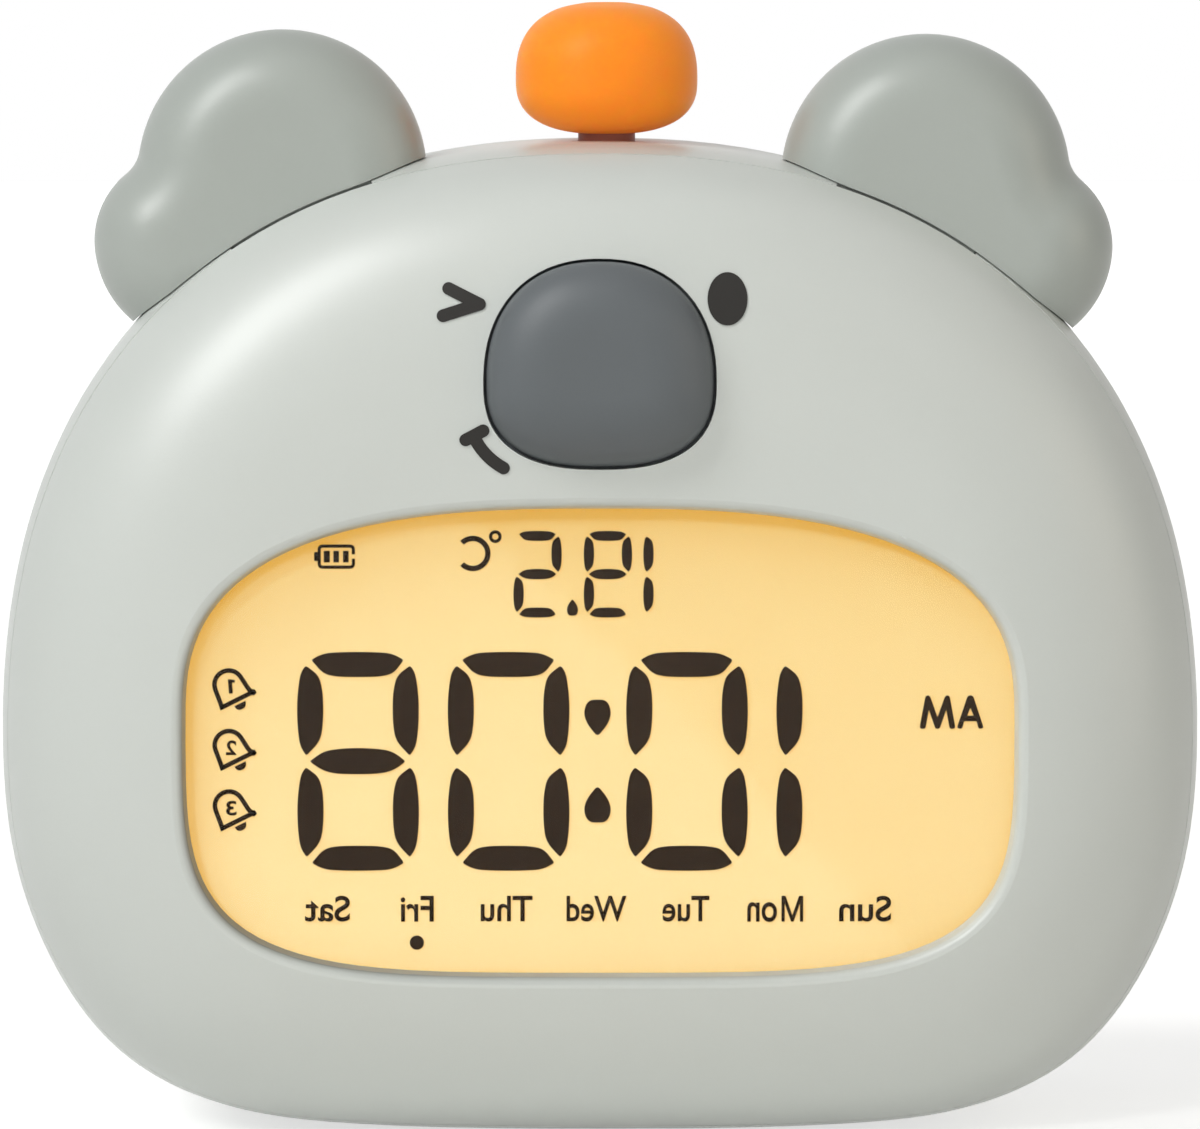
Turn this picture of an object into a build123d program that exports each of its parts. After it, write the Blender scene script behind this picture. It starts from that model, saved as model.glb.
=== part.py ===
from build123d import *
from functools import lru_cache
import math
import os

# A kids' alarm clock shaped like a round-eared head, with a night light and a big snooze knob.
# Millimetres. X runs across the face, -Y is the face side, Z is up from the table.
# The origin is on the table, under the middle of the clock.

# ------------------------------------------------------------------ head
STAND = 0.3                      # the feet lift the head this far off the table
HEAD_HALF_WIDTH = 63.0
HEAD_CROWN = 63.05               # rise of the outline above its widest line
HEAD_CROWN_POWER = 2.305
HEAD_DROP = 52.1                 # drop the outline would have without its flat base
HEAD_DROP_POWER = 2.19
HEAD_FLOOR = 41.3                # drop at which the base is flattened
FLAT_SHARPNESS = 10.6
FRONT_Y = -26.0
CREST_FRONT_Y = -8.0             # the outline is full between the two crest planes
CREST_REAR_Y = 14.0
REAR_Y = 30.0
FRONT_BLEND = 26.0               # how far the front dome draws in
REAR_BLEND = 20.0
DOME_POWER = 2.3
DOME_STEPS = 7
RING_POINTS = 32
FINE_RING_POINTS = 48            # for a ring with tight corners
WALL = 2.2
PARTING_Y = -14.0
SEAM_WIDTH = 0.2
SEAM_DEPTH = 0.2
LIP_DEPTH = 1.5
LIP_WALL = 1.0
FIT = 0.1                        # clearance of a close fit
RUNNING = 0.08                   # clearance of a shaft or button that slides
LOOSE = 0.3                      # clearance of a running gap
PAST = 1.0                       # how far a cutter runs past the face it opens

# ------------------------------------------------------------------ display
WINDOW_Z = 45.0                  # height of the widest line of the window
WINDOW_HALF = 43.0               # at the lens
WINDOW_RISE = 22.0
WINDOW_RISE_POWER = 2.71
WINDOW_DROP = 26.4
WINDOW_DROP_POWER = 4.07
WINDOW_DRAFT = 0.45              # the opening is this much larger at the front face
RIM_RADIUS = 1.0                 # of the rounded edge of the opening
RECESS_DEPTH = 3.0
POCKET_MARGIN = 1.6              # the display pocket is this much larger than the window
WELL_WALL = 1.4
LENS_THICKNESS = 1.5
GLASS_THICKNESS = 2.4
SEGMENT_THICKNESS = 0.15
GUIDE_THICKNESS = 1.4
LED_THICKNESS = 0.7
LED_HALF_LENGTH = 1.75
LED_HALF_WIDTH = 1.4
BACKLIGHT_PITCH = 23.6
ZEBRA_HALF = 25.7
ZEBRA_HEIGHT = 2.0
ZEBRA_DROP = 0.2                 # of the strip below the window's lowest line
BOARD_THICKNESS = 1.6

DIGIT_WIDTH = 12.5
DIGIT_HEIGHT = 22.8
DIGIT_STROKE = 2.55
SEGMENT_GAP = 0.14               # between two segments, as a share of their stroke
DIGIT_BASE_Z = 29.05
DIGIT_LEFTS = (-31.45, -15.8, 2.75, 18.35)
DIGIT_SEGMENTS = ("abcdefg", "abcdef", "abcdef", "ef")
COLON_X = -0.26
COLON_RISES = (7.0, 15.8)
SMALL_WIDTH = 4.95
SMALL_HEIGHT = 8.9
SMALL_STROKE = 0.98
SMALL_BASE_Z = 55.5
SMALL_LEFTS = (-8.95, -1.6, 4.62)
SMALL_SEGMENTS = ("abged", "abfged", "ef")

# ------------------------------------------------------------------ nose button
NOSE_Z = 80.2
NOSE_HALF = 11.75
NOSE_RISE = 12.4
NOSE_RISE_POWER = 2.26
NOSE_DROP = 8.7
NOSE_DROP_POWER = 2.55
NOSE_FRONT_Y = -30.0
NOSE_DOME_DEPTH = 5.0
NOSE_BLEND = 7.0
NOSE_WALL = 2.0
NOSE_FLANGE = 1.5
FLANGE_THICKNESS = 1.2
NOSE_TRAVEL = 1.0
POST_RADIUS = 2.5

# ------------------------------------------------------------------ printed face
PRINT_THICKNESS = 0.12
PRINT_STROKE = 1.3
EYE_X = 13.15
EYE_Z = 88.8
EYE_HALF_WIDTH = 2.06
EYE_HALF_HEIGHT = 2.72
WINK_POINTS = ((-15.62, 89.85), (-12.42, 88.26), (-16.19, 87.07))
CHEEK_STROKE = ((-13.85, 74.3), (-12.05, 75.25))
MOUTH_POINTS = ((-12.94, 74.5), (-11.7, 72.74), (-9.95, 71.4))

# ------------------------------------------------------------------ ears
EAR_LOBE = (33.85, 100.8)        # centre of the large lobe, out from the middle and up
EAR_LOBE_RADIUS = 15.2
EAR_TIP = (44.5, 93.7)           # centre of the small outer lobe
EAR_TIP_RADIUS = 9.1
EAR_NOTCH_RADIUS = 4.0
EAR_BELLY_RADIUS = 11.2          # the wider arc that runs on from the tip into the head
EAR_BELLY_TURNS = (math.radians(-75.0), math.radians(-5.0))
EAR_ROOT_INNER = (17.8, 90.0)    # where the inner root line ends, inside the head
EAR_TURN = 0.4                   # both ears sit this many degrees clockwise of upright
EAR_DEPTH = 17.0
EAR_SETBACK = 0.2                # behind the parting plane
EAR_ROUND = 8.0
EAR_WALL = 2.0
EAR_GAP = 0.15                   # between an ear and the head
NECK_WIDTH = 16.0
NECK_SETBACK = 1.5               # behind the ear's front face
NECK_FLANGE = 3.0
NECK_FLANGE_THICKNESS = 2.0

# ------------------------------------------------------------------ knob and its lamp board
KNOB_X = 0.7
KNOB_Y = 3.0
KNOB_RADIUS = 9.65
KNOB_RISE = 8.25
KNOB_FALL = 5.75
KNOB_POWER = 2.55
KNOB_STEPS = 8
KNOB_TOP_Z = 119.0
STEM_RADIUS = 3.03
STEM_SOCKET_DEPTH = 8.0
GUIDE_WALL = 1.6
GUIDE_LENGTH = 9.0
CLIP_RADIUS = 5.2
CLIP_THICKNESS = 0.8
GROOVE_DEPTH = 0.5
SPRING_WIRE = 0.5
SPRING_TURNS = 5.0
LAMP_BOARD_HALF = 20.0
LAMP_BOARD_Y = (-7.0, 13.0)
LAMP_POST_SPREAD = 15.0
NIGHT_LED_X = 9.3                # from the knob's axis
NIGHT_LED_Y = 6.5                # from the middle of the lamp board
NIGHT_LED_HEIGHT = 1.2

# ------------------------------------------------------------------ push switches
SWITCH_SIDE = 6.0
SWITCH_HEIGHT = 3.4
PLUNGER_RADIUS = 1.7
PLUNGER_REACH = 1.2              # how far a plunger stands out of its switch
PLUNGER_DEPTH = 1.6              # how far it goes in

# ------------------------------------------------------------------ rear panel
PANEL_DEPTH = 1.5
PANEL_MARGIN = 3.5               # between the outer buttons and the panel's edge
BUTTON_NAMES = ("set", "hour", "minute", "alarm", "light")
BUTTON_PITCH = 13.0
BUTTON_Z = 62.0
BUTTON_RADIUS = 4.0
BUTTON_FLANGE = 1.2
BUTTON_ROUND = 0.6
BUTTON_SETBACK = 0.3             # of the cap behind the rear face
REAR_SWITCH_GAP = 1.4            # from a button's flange to the switch behind it, post included
REAR_BOARD_HALF = 38.0
REAR_BOARD_Z = (52.0, 70.0)
REAR_LEG_X = 22.0
REAR_LEG_Z = 23.0
REAR_SCREW_MARGIN_X = 2.0        # from a screw's axis to the rear board's edge
REAR_SCREW_MARGIN_Z = 3.0
USB_X = 32.0
USB_Z = 34.0
USB_WIDTH = 9.0
USB_HEIGHT = 3.3
USB_SHEET = 0.35
USB_BACK = 1.5                   # the closed end of the sleeve
USB_TONGUE_HALF = 3.3
USB_TONGUE_SETBACK = 1.0
USB_RECESS = 1.8                 # of the finger dish round the socket
RESET_Z = 26.0
SPEAKER_Z = 34.0
SPEAKER_RADIUS = 14.0
SPEAKER_FLANGE = 1.0
SPEAKER_BASKET_RADIUS = 12.5
SPEAKER_BASKET_DEPTH = 5.6
SPEAKER_WALL = 1.0
SPEAKER_TAB_LENGTH = 3.0
SPEAKER_TAB_WIDTH = 6.0
SPEAKER_TAB_DEPTH = 2.0
SPEAKER_COLLAR_WALL = 1.2
SPEAKER_COLLAR_DEPTH = 3.0
MAGNET_RADIUS = 7.0
MAGNET_DEPTH = 3.5
CONE_THICKNESS = 0.5
CONE_DEPTH = 3.2
CONE_NECK_RADIUS = 4.4
GRILLE_HOLE = 0.95
GRILLE_PITCH = 3.6
GRILLE_RINGS = 3
VENT_X = -32.0
VENT_Z = 32.0
VENT_LENGTH = 10.0
VENT_WIDTH = 1.2
VENT_COUNT = 5
VENT_PITCH = 2.6

# ------------------------------------------------------------------ boards, battery, fasteners
MAIN_BOARD_HALF = 48.0
MAIN_BOARD_Z = (14.0, 72.0)
MAIN_BOARD_CORNER = 6.0
TAB_HALF = 15.0
TAB_TOP_Z = 89.0
BOARD_POSTS = ((44.0, 17.5), (43.0, 67.0))
BOARD_POST_RADIUS = 2.6
CASE_POSTS = ((40.0, 10.5), (50.0, 72.0))
CASE_POST_RADIUS = 3.2
COUNTERBORE_WALL = 1.4
CASE_SCREW_SEAT_Y = -6.0
COUNTERBORE_RADIUS = 2.8
SCREW_RADIUS = 1.1
SCREW_HEAD_RADIUS = 2.3
SCREW_HEAD_HEIGHT = 1.5
CROSS_HALF_WIDTH = 0.4
CROSS_REACH = 1.4
CROSS_DEPTH = 0.9
SCREW_LENGTH = 6.0
CASE_SCREW_LENGTH = 12.5
CELL_HALF_WIDTH = 25.0
CELL_Z = (22.0, 56.0)
CELL_THICKNESS = 7.0
CELL_ROUND = 2.1
CELL_TAPE = 1.0
TAPE_MARGIN = 2.5
CHIPS = (                        # centre across and up, half side, height
    (36.0, 49.0, 5.0, 1.2),
    (36.0, 37.0, 2.4, 1.6),
    (-36.0, 47.0, 3.2, 1.4),
)
CONNECTOR_LENGTH = 6.0
CONNECTOR_WIDTH = 4.0
CONNECTOR_HEIGHT = 4.0
BATTERY_CONNECTOR = (13.0, 62.0)  # low corner of each connector on its board, across and up
LAMP_CONNECTOR = (-15.0, 66.0)
RIBBON_CONNECTOR = (-29.0, 60.0)
SPEAKER_CONNECTOR = (-21.0, 53.0)
LEAD_RADIUS = 0.6
LEAD_ARCH = 6.0                  # radius of the battery lead's arch over its connector
LEAD_SLACK = 2.5
LAMP_LEAD_Y = -4.0
RIBBON_WIDTH = 4.8
RIBBON_THICKNESS = 0.6
FOOT_X = 13.0
FOOT_YS = (-3.0, 9.5)
FOOT_LENGTH = 14.0
FOOT_WIDTH = 5.0
FOOT_THICKNESS = 1.2

# ------------------------------------------------------------------ planes worked out from these
LENS_Y = FRONT_Y + RECESS_DEPTH
GLASS_Y = LENS_Y + LENS_THICKNESS + 2 * SEGMENT_THICKNESS
GUIDE_Y = GLASS_Y + GLASS_THICKNESS + FIT
BOARD_Y = GUIDE_Y + GUIDE_THICKNESS + FIT + LED_THICKNESS
BOARD_REAR_Y = BOARD_Y + BOARD_THICKNESS
PANEL_Y = REAR_Y - PANEL_DEPTH
PANEL_INNER_Y = PANEL_Y - WALL
BUTTON_FLANGE_Y = PANEL_INNER_Y - FIT - FLANGE_THICKNESS
SPEAKER_FACE_Y = REAR_Y - WALL - LOOSE
REAR_BOARD_REAR_Y = BUTTON_FLANGE_Y - REAR_SWITCH_GAP - PLUNGER_REACH - SWITCH_HEIGHT
REAR_BOARD_Y = REAR_BOARD_REAR_Y - BOARD_THICKNESS
EAR_FRONT_Y = PARTING_Y + EAR_SETBACK
EAR_MIDDLE_Y = EAR_FRONT_Y + EAR_DEPTH / 2
PANEL_RADIUS = BUTTON_RADIUS + PANEL_MARGIN
PANEL_HALF = BUTTON_PITCH * (len(BUTTON_NAMES) - 1) / 2 + PANEL_RADIUS


def flattened(drop, floor):
    """The drop of a curve that is flattened at floor."""
    return (drop ** -FLAT_SHARPNESS + floor ** -FLAT_SHARPNESS) ** (-1 / FLAT_SHARPNESS)


class Outline:
    """A smooth closed curve about a centre in the XZ plane, with its own upper and lower reach."""

    def __init__(self, z, half, rise, rise_power, drop, drop_power, floor=None, points=RING_POINTS):
        self.z, self.half = z, half
        self.rise, self.rise_power = rise, rise_power
        self.drop, self.drop_power = drop, drop_power
        self.floor, self.points = floor, points

    def reach(self, angle, inset):
        """Distance from the centre to the curve, drawn in by inset."""
        across, up = abs(math.cos(angle)), abs(math.sin(angle))
        over = math.sin(angle) >= 0
        power = self.rise_power if over else self.drop_power
        tall = (self.rise if over else self.drop) - inset
        reach = ((across / (self.half - inset)) ** power + (up / tall) ** power) ** (-1 / power)
        if over or self.floor is None:
            return reach
        flat = (up / (self.floor - inset)) ** FLAT_SHARPNESS
        return (reach ** -FLAT_SHARPNESS + flat) ** (-1 / FLAT_SHARPNESS)

    def ring(self, y, inset=0.0):
        """The curve as a closed wire in the plane at y, joined at its lowest point."""
        points = []
        for i in range(self.points):
            angle = math.pi * (2 * i / self.points - 0.5)
            reach = self.reach(angle, inset)
            points.append(Vector(reach * math.cos(angle), y, self.z + reach * math.sin(angle)))
        stations = [i / self.points for i in range(self.points + 1)]
        return Wire([Edge.make_spline(points, periodic=True, parameters=stations)])

    def slab(self, y0, y1, inset=0.0):
        """A straight prism of the curve from y0 to y1."""
        return extrude(Face(self.ring(y0, inset)), amount=y1 - y0, dir=(0, 1, 0))


HEAD_Z = STAND + flattened(HEAD_DROP, HEAD_FLOOR)
HEAD = Outline(HEAD_Z, HEAD_HALF_WIDTH, HEAD_CROWN, HEAD_CROWN_POWER, HEAD_DROP, HEAD_DROP_POWER, HEAD_FLOOR)
WINDOW = Outline(
    WINDOW_Z, WINDOW_HALF, WINDOW_RISE, WINDOW_RISE_POWER, WINDOW_DROP, WINDOW_DROP_POWER,
    points=FINE_RING_POINTS,
)
NOSE = Outline(NOSE_Z, NOSE_HALF, NOSE_RISE, NOSE_RISE_POWER, NOSE_DROP, NOSE_DROP_POWER)
CROWN_Z = HEAD_Z + HEAD_CROWN


# ------------------------------------------------------------------ simple solids
def block(x0, x1, y0, y1, z0, z1):
    return Solid.make_box(x1 - x0, y1 - y0, z1 - z0, Plane(origin=(x0, y0, z0)))


def layer(y0, y1):
    """Everything between two planes across Y."""
    reach = 4 * HEAD_HALF_WIDTH
    return block(-reach, reach, y0, y1, -reach, reach)


def rod(x, z, radius, y0, y1):
    """A round bar along Y."""
    return Solid.make_cylinder(radius, y1 - y0, Plane(origin=(x, y0, z), z_dir=(0, 1, 0)))


def upright(x, y, radius, z0, z1):
    """A round bar along Z."""
    return Solid.make_cylinder(radius, z1 - z0, Plane(origin=(x, y, z0)))


def rounded_plate(x0, x1, z0, z1, radius, y0, y1):
    """A plate across Y with rounded corners."""
    plan = Plane(origin=((x0 + x1) / 2, y0, (z0 + z1) / 2), x_dir=(1, 0, 0), z_dir=(0, 1, 0))
    return extrude(plan * RectangleRounded(x1 - x0, z1 - z0, radius), amount=y1 - y0)


def coil(radius, x, y, z, length, axis):
    """A round-wire spring whose lower end is at the given point and that runs along axis."""
    pitch = (length - SPRING_WIRE) / SPRING_TURNS
    rise = pitch * SPRING_TURNS
    helix = Edge.make_helix(pitch=pitch, height=rise, radius=radius)
    section = Plane(origin=helix @ 0, z_dir=helix % 0) * Circle(SPRING_WIRE / 2)
    wire = sweep(section, path=helix, is_frenet=True)
    place = Plane(origin=Vector(x, y, z) + Vector(axis) * (SPRING_WIRE / 2), z_dir=axis)
    return place.location * wire


def pan_screw(x, z, seat_y, length, toward):
    """A screw along Y whose head sits at seat_y and whose shank points toward -1 or +1."""
    tip_y = seat_y + toward * length
    head_y = seat_y - toward * SCREW_HEAD_HEIGHT
    shank = rod(x, z, SCREW_RADIUS, min(seat_y, tip_y), max(seat_y, tip_y))
    head = rod(x, z, SCREW_HEAD_RADIUS, min(seat_y, head_y), max(seat_y, head_y))
    low, high = sorted((head_y, head_y + toward * CROSS_DEPTH))
    cross = block(x - CROSS_HALF_WIDTH, x + CROSS_HALF_WIDTH, low, high, z - CROSS_REACH, z + CROSS_REACH)
    cross += block(x - CROSS_REACH, x + CROSS_REACH, low, high, z - CROSS_HALF_WIDTH, z + CROSS_HALF_WIDTH)
    return shank + head - cross


# ------------------------------------------------------------------ head shells
@lru_cache(maxsize=None)
def pillow(inset):
    """The head's outer form, drawn in by inset on every side."""
    front_depth = CREST_FRONT_Y - FRONT_Y - inset
    rear_depth = REAR_Y - CREST_REAR_Y - inset
    power = 2 / DOME_POWER
    sections = []
    for step in range(DOME_STEPS, 0, -1):
        turn = math.pi / 2 * step / DOME_STEPS
        draw = (FRONT_BLEND - inset) * (1 - max(math.cos(turn), 0.0) ** power)
        sections.append((CREST_FRONT_Y - front_depth * math.sin(turn) ** power, draw))
    sections += [(CREST_FRONT_Y, 0.0), ((CREST_FRONT_Y + CREST_REAR_Y) / 2, 0.0), (CREST_REAR_Y, 0.0)]
    for step in range(1, DOME_STEPS + 1):
        turn = math.pi / 2 * step / DOME_STEPS
        draw = (REAR_BLEND - inset) * (1 - max(math.cos(turn), 0.0) ** power)
        sections.append((CREST_REAR_Y + rear_depth * math.sin(turn) ** power, draw))
    return Solid.make_loft([HEAD.ring(y, draw + inset) for y, draw in sections])


def band(outer_inset, inner_inset, y0, y1):
    """A strip of the head's wall between two insets and two planes."""
    return (pillow(outer_inset) & layer(y0, y1)) - pillow(inner_inset)


def seam_groove():
    """The fine groove all round the parting plane."""
    return band(-LOOSE, SEAM_DEPTH, PARTING_Y - SEAM_WIDTH / 2, PARTING_Y + SEAM_WIDTH / 2)


def mirrored_pair(places):
    """Each place and its mirror image, left one first."""
    return [(side * x, z) for x, z in places for side in (-1, 1)]


def window_opening():
    """The cutter of the display opening, drafted down to the lens."""
    y0 = FRONT_Y - PAST
    draft = WINDOW_DRAFT / RECESS_DEPTH
    return Solid.make_loft([WINDOW.ring(y0, -draft * (LENS_Y - y0)), WINDOW.ring(LENS_Y, 0.0)])


def window_frame():
    """The front wall of the head with the display opening, its rounded rim and the well behind it."""
    frame = (pillow(0.0) - pillow(WALL)) & layer(FRONT_Y - PAST, PARTING_Y)
    frame += WINDOW.slab(FRONT_Y + RECESS_DEPTH / 2, BOARD_Y, -POCKET_MARGIN - WELL_WALL)
    frame -= window_opening()
    rim = [edge for edge in frame.edges() if edge.bounding_box().max.Y < FRONT_Y + RIM_RADIUS]
    return fillet(rim, RIM_RADIUS)


def front_shell():
    """The face, with the display well, the nose's opening and the posts that take the screws."""
    shell = window_frame()
    for x, z in mirrored_pair(BOARD_POSTS):
        shell += rod(x, z, BOARD_POST_RADIUS, FRONT_Y, BOARD_Y) & pillow(WALL / 2)
    for x, z in mirrored_pair(CASE_POSTS):
        shell += rod(x, z, CASE_POST_RADIUS, FRONT_Y, PARTING_Y) & pillow(WALL / 2)
    shell -= WINDOW.slab(LENS_Y, BOARD_Y + PAST, -POCKET_MARGIN)
    shell -= NOSE.slab(NOSE_FRONT_Y, BOARD_Y, -LOOSE)
    for x, z in mirrored_pair(BOARD_POSTS):
        shell -= rod(x, z, SCREW_RADIUS, BOARD_REAR_Y - SCREW_LENGTH - FIT, BOARD_Y)
    for x, z in mirrored_pair(CASE_POSTS):
        shell -= rod(x, z, SCREW_RADIUS, CASE_SCREW_SEAT_Y - CASE_SCREW_LENGTH - FIT, PARTING_Y)
    rebate_y = PARTING_Y - LIP_DEPTH - FIT
    shell -= band(WALL - LIP_WALL - FIT, WALL + LOOSE, rebate_y, PARTING_Y) - front_post_cores()
    return shell - seam_groove()


def front_post_cores():
    """The case posts' own room, which the rebate leaves standing."""
    cores = [rod(x, z, CASE_POST_RADIUS, FRONT_Y, PARTING_Y) for x, z in mirrored_pair(CASE_POSTS)]
    return Compound(children=cores)


def neck_bar(side, y0, y1, width):
    """A bar from the head's centre out through the root of an ear."""
    angle = math.degrees(math.atan2(EAR_LOBE[1] - HEAD_Z, side * EAR_LOBE[0]))
    reach = 2 * HEAD_HALF_WIDTH
    place = Pos(0, 0, HEAD_Z) * Rot(0, EAR_TURN - angle, 0) * Pos(reach / 2, (y0 + y1) / 2, 0)
    return place * Box(reach, y1 - y0, width)


def case_post(x, z):
    """A tube from the rear wall to the parting plane, counterbored for its screw."""
    return rod(x, z, COUNTERBORE_RADIUS + COUNTERBORE_WALL, PARTING_Y, REAR_Y) & pillow(WALL / 2)


def stadium(half, radius, x, z, y0, y1):
    """A bar along Y with two straight sides and two round ends."""
    plan = Plane(origin=(x, y0, z), x_dir=(1, 0, 0), z_dir=(0, 1, 0))
    return extrude(plan * SlotOverall(2 * half, 2 * radius), amount=y1 - y0)


def speaker_grille():
    """The cutters of the sound holes, in rings about the middle one."""
    holes = [(0.0, SPEAKER_Z)]
    for ring in range(1, GRILLE_RINGS + 1):
        for i in range(6 * ring):
            turn = 2 * math.pi * i / (6 * ring)
            reach = ring * GRILLE_PITCH
            holes.append((reach * math.cos(turn), SPEAKER_Z + reach * math.sin(turn)))
    return [rod(x, z, GRILLE_HOLE, REAR_Y - WALL - PAST, REAR_Y + PAST) for x, z in holes]


def vents():
    """The cutters of the air slots."""
    slots = []
    for i in range(VENT_COUNT):
        z = VENT_Z + (i - (VENT_COUNT - 1) / 2) * VENT_PITCH
        slots.append(stadium(VENT_LENGTH / 2, VENT_WIDTH / 2, VENT_X, z, REAR_Y - WALL - PAST, REAR_Y + PAST))
    return slots


def button_places():
    """How far across each rear button sits."""
    first = -BUTTON_PITCH * (len(BUTTON_NAMES) - 1) / 2
    return {name: first + i * BUTTON_PITCH for i, name in enumerate(BUTTON_NAMES)}


def rear_posts():
    """Where the rear board is screwed down."""
    side = REAR_BOARD_HALF - REAR_SCREW_MARGIN_X
    low, high = REAR_BOARD_Z[0] + REAR_SCREW_MARGIN_Z, REAR_BOARD_Z[1] - REAR_SCREW_MARGIN_Z
    return [(-side, low), (-side, high), (side, high), (side, REAR_LEG_Z + REAR_SCREW_MARGIN_Z)]


def knob_guide_space():
    """The height of the guide's lower end."""
    return CROWN_Z - WALL - GUIDE_LENGTH


def rear_shell():
    """The back of the head, with its lip, posts, button panel, knob guide, grille and openings."""
    shell = (pillow(0.0) - pillow(WALL)) & layer(PARTING_Y, REAR_Y + PAST)
    shell += band(WALL - LIP_WALL, WALL, PARTING_Y - LIP_DEPTH, PARTING_Y + LIP_DEPTH)
    for x, z in mirrored_pair(CASE_POSTS):
        shell += case_post(x, z)
    shell += stadium(PANEL_HALF + WALL, PANEL_RADIUS + WALL, 0, BUTTON_Z, PANEL_INNER_Y, REAR_Y - WALL / 2)
    for x, z in rear_posts():
        shell += rod(x, z, BOARD_POST_RADIUS, REAR_BOARD_REAR_Y, REAR_Y - WALL / 2)
    collar_y, seat = SPEAKER_FACE_Y - SPEAKER_COLLAR_DEPTH, SPEAKER_RADIUS + LOOSE
    collar = rod(0, SPEAKER_Z, seat + SPEAKER_COLLAR_WALL, collar_y, REAR_Y - WALL / 2)
    shell += collar - rod(0, SPEAKER_Z, seat, collar_y - PAST, REAR_Y - WALL)
    guide_z = knob_guide_space()
    guide = upright(KNOB_X, KNOB_Y, STEM_RADIUS + RUNNING + GUIDE_WALL, guide_z, CROWN_Z) & pillow(WALL / 2)
    shell += guide
    for side in (-1, 1):
        post = upright(KNOB_X + side * LAMP_POST_SPREAD, KNOB_Y, BOARD_POST_RADIUS, lamp_board_top(), CROWN_Z)
        shell += post & pillow(WALL / 2)
        shell -= upright(
            KNOB_X + side * LAMP_POST_SPREAD, KNOB_Y, SCREW_RADIUS,
            lamp_board_top() - BOARD_THICKNESS, lamp_board_top() - BOARD_THICKNESS + SCREW_LENGTH + FIT,
        )
    shell -= upright(KNOB_X, KNOB_Y, STEM_RADIUS + RUNNING, guide_z - PAST, CROWN_Z + PAST)
    shell -= stadium(PANEL_HALF, PANEL_RADIUS, 0, BUTTON_Z, PANEL_Y, REAR_Y + PAST)
    for x in button_places().values():
        shell -= rod(x, BUTTON_Z, BUTTON_RADIUS + RUNNING, PANEL_INNER_Y - PAST, PANEL_Y + PAST)
    for x, z in rear_posts():
        shell -= rod(x, z, SCREW_RADIUS, REAR_BOARD_Y, REAR_BOARD_Y + SCREW_LENGTH + FIT)
    for x, z in mirrored_pair(CASE_POSTS):
        shell -= rod(x, z, COUNTERBORE_RADIUS, CASE_SCREW_SEAT_Y, REAR_Y + PAST)
        shell -= rod(x, z, SCREW_RADIUS + FIT, PARTING_Y - LIP_DEPTH - PAST, CASE_SCREW_SEAT_Y)
        shell -= rod(x, z, CASE_POST_RADIUS + FIT, PARTING_Y - LIP_DEPTH - PAST, PARTING_Y)
    for cutter in speaker_grille() + vents():
        shell -= cutter
    usb_half = USB_WIDTH / 2 + FIT
    usb_tall = USB_HEIGHT / 2 + FIT
    dish_half, dish_tall = usb_half + USB_RECESS, usb_tall + USB_RECESS
    shell -= stadium(usb_half, usb_tall, USB_X, USB_Z, REAR_Y - WALL - PAST, REAR_Y + PAST)
    shell -= stadium(dish_half, dish_tall, USB_X, USB_Z, REAR_Y - WALL / 3, REAR_Y + PAST)
    shell -= rod(USB_X, RESET_Z, VENT_WIDTH / 2, REAR_Y - WALL - PAST, REAR_Y + PAST)
    for side in (-1, 1):
        shell -= neck_bar(side, PARTING_Y - LIP_DEPTH - FIT, EAR_MIDDLE_Y + FIT, NECK_WIDTH + 2 * FIT)
        for y in FOOT_YS:
            shell -= foot_pad(side * FOOT_X, y, FIT)
    return shell - seam_groove()


def foot_pad(x, y, grow=0.0):
    """A rubber pad let into the base; with grow it is the pocket."""
    length, width = FOOT_LENGTH + 2 * grow, FOOT_WIDTH + 2 * grow
    plan = Plane(origin=(x, y, 0)) * SlotOverall(length, width)
    return extrude(plan, amount=FOOT_THICKNESS)


# ------------------------------------------------------------------ ears
def bearing(start, end):
    """The direction from one place to another, in radians from +X up towards +Z."""
    return math.atan2(end[1] - start[1], end[0] - start[0])


def spot(centre, radius, turn):
    """The point of a circle at a bearing."""
    return centre[0] + radius * math.cos(turn), centre[1] + radius * math.sin(turn)


def arc(centre, radius, first, last, y):
    """The arc of a circle in the plane at y, from one bearing to another."""
    places = [spot(centre, radius, turn) for turn in (first, (first + last) / 2, last)]
    return Edge.make_three_point_arc(*(Vector(x, y, z) for x, z in places))


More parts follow.
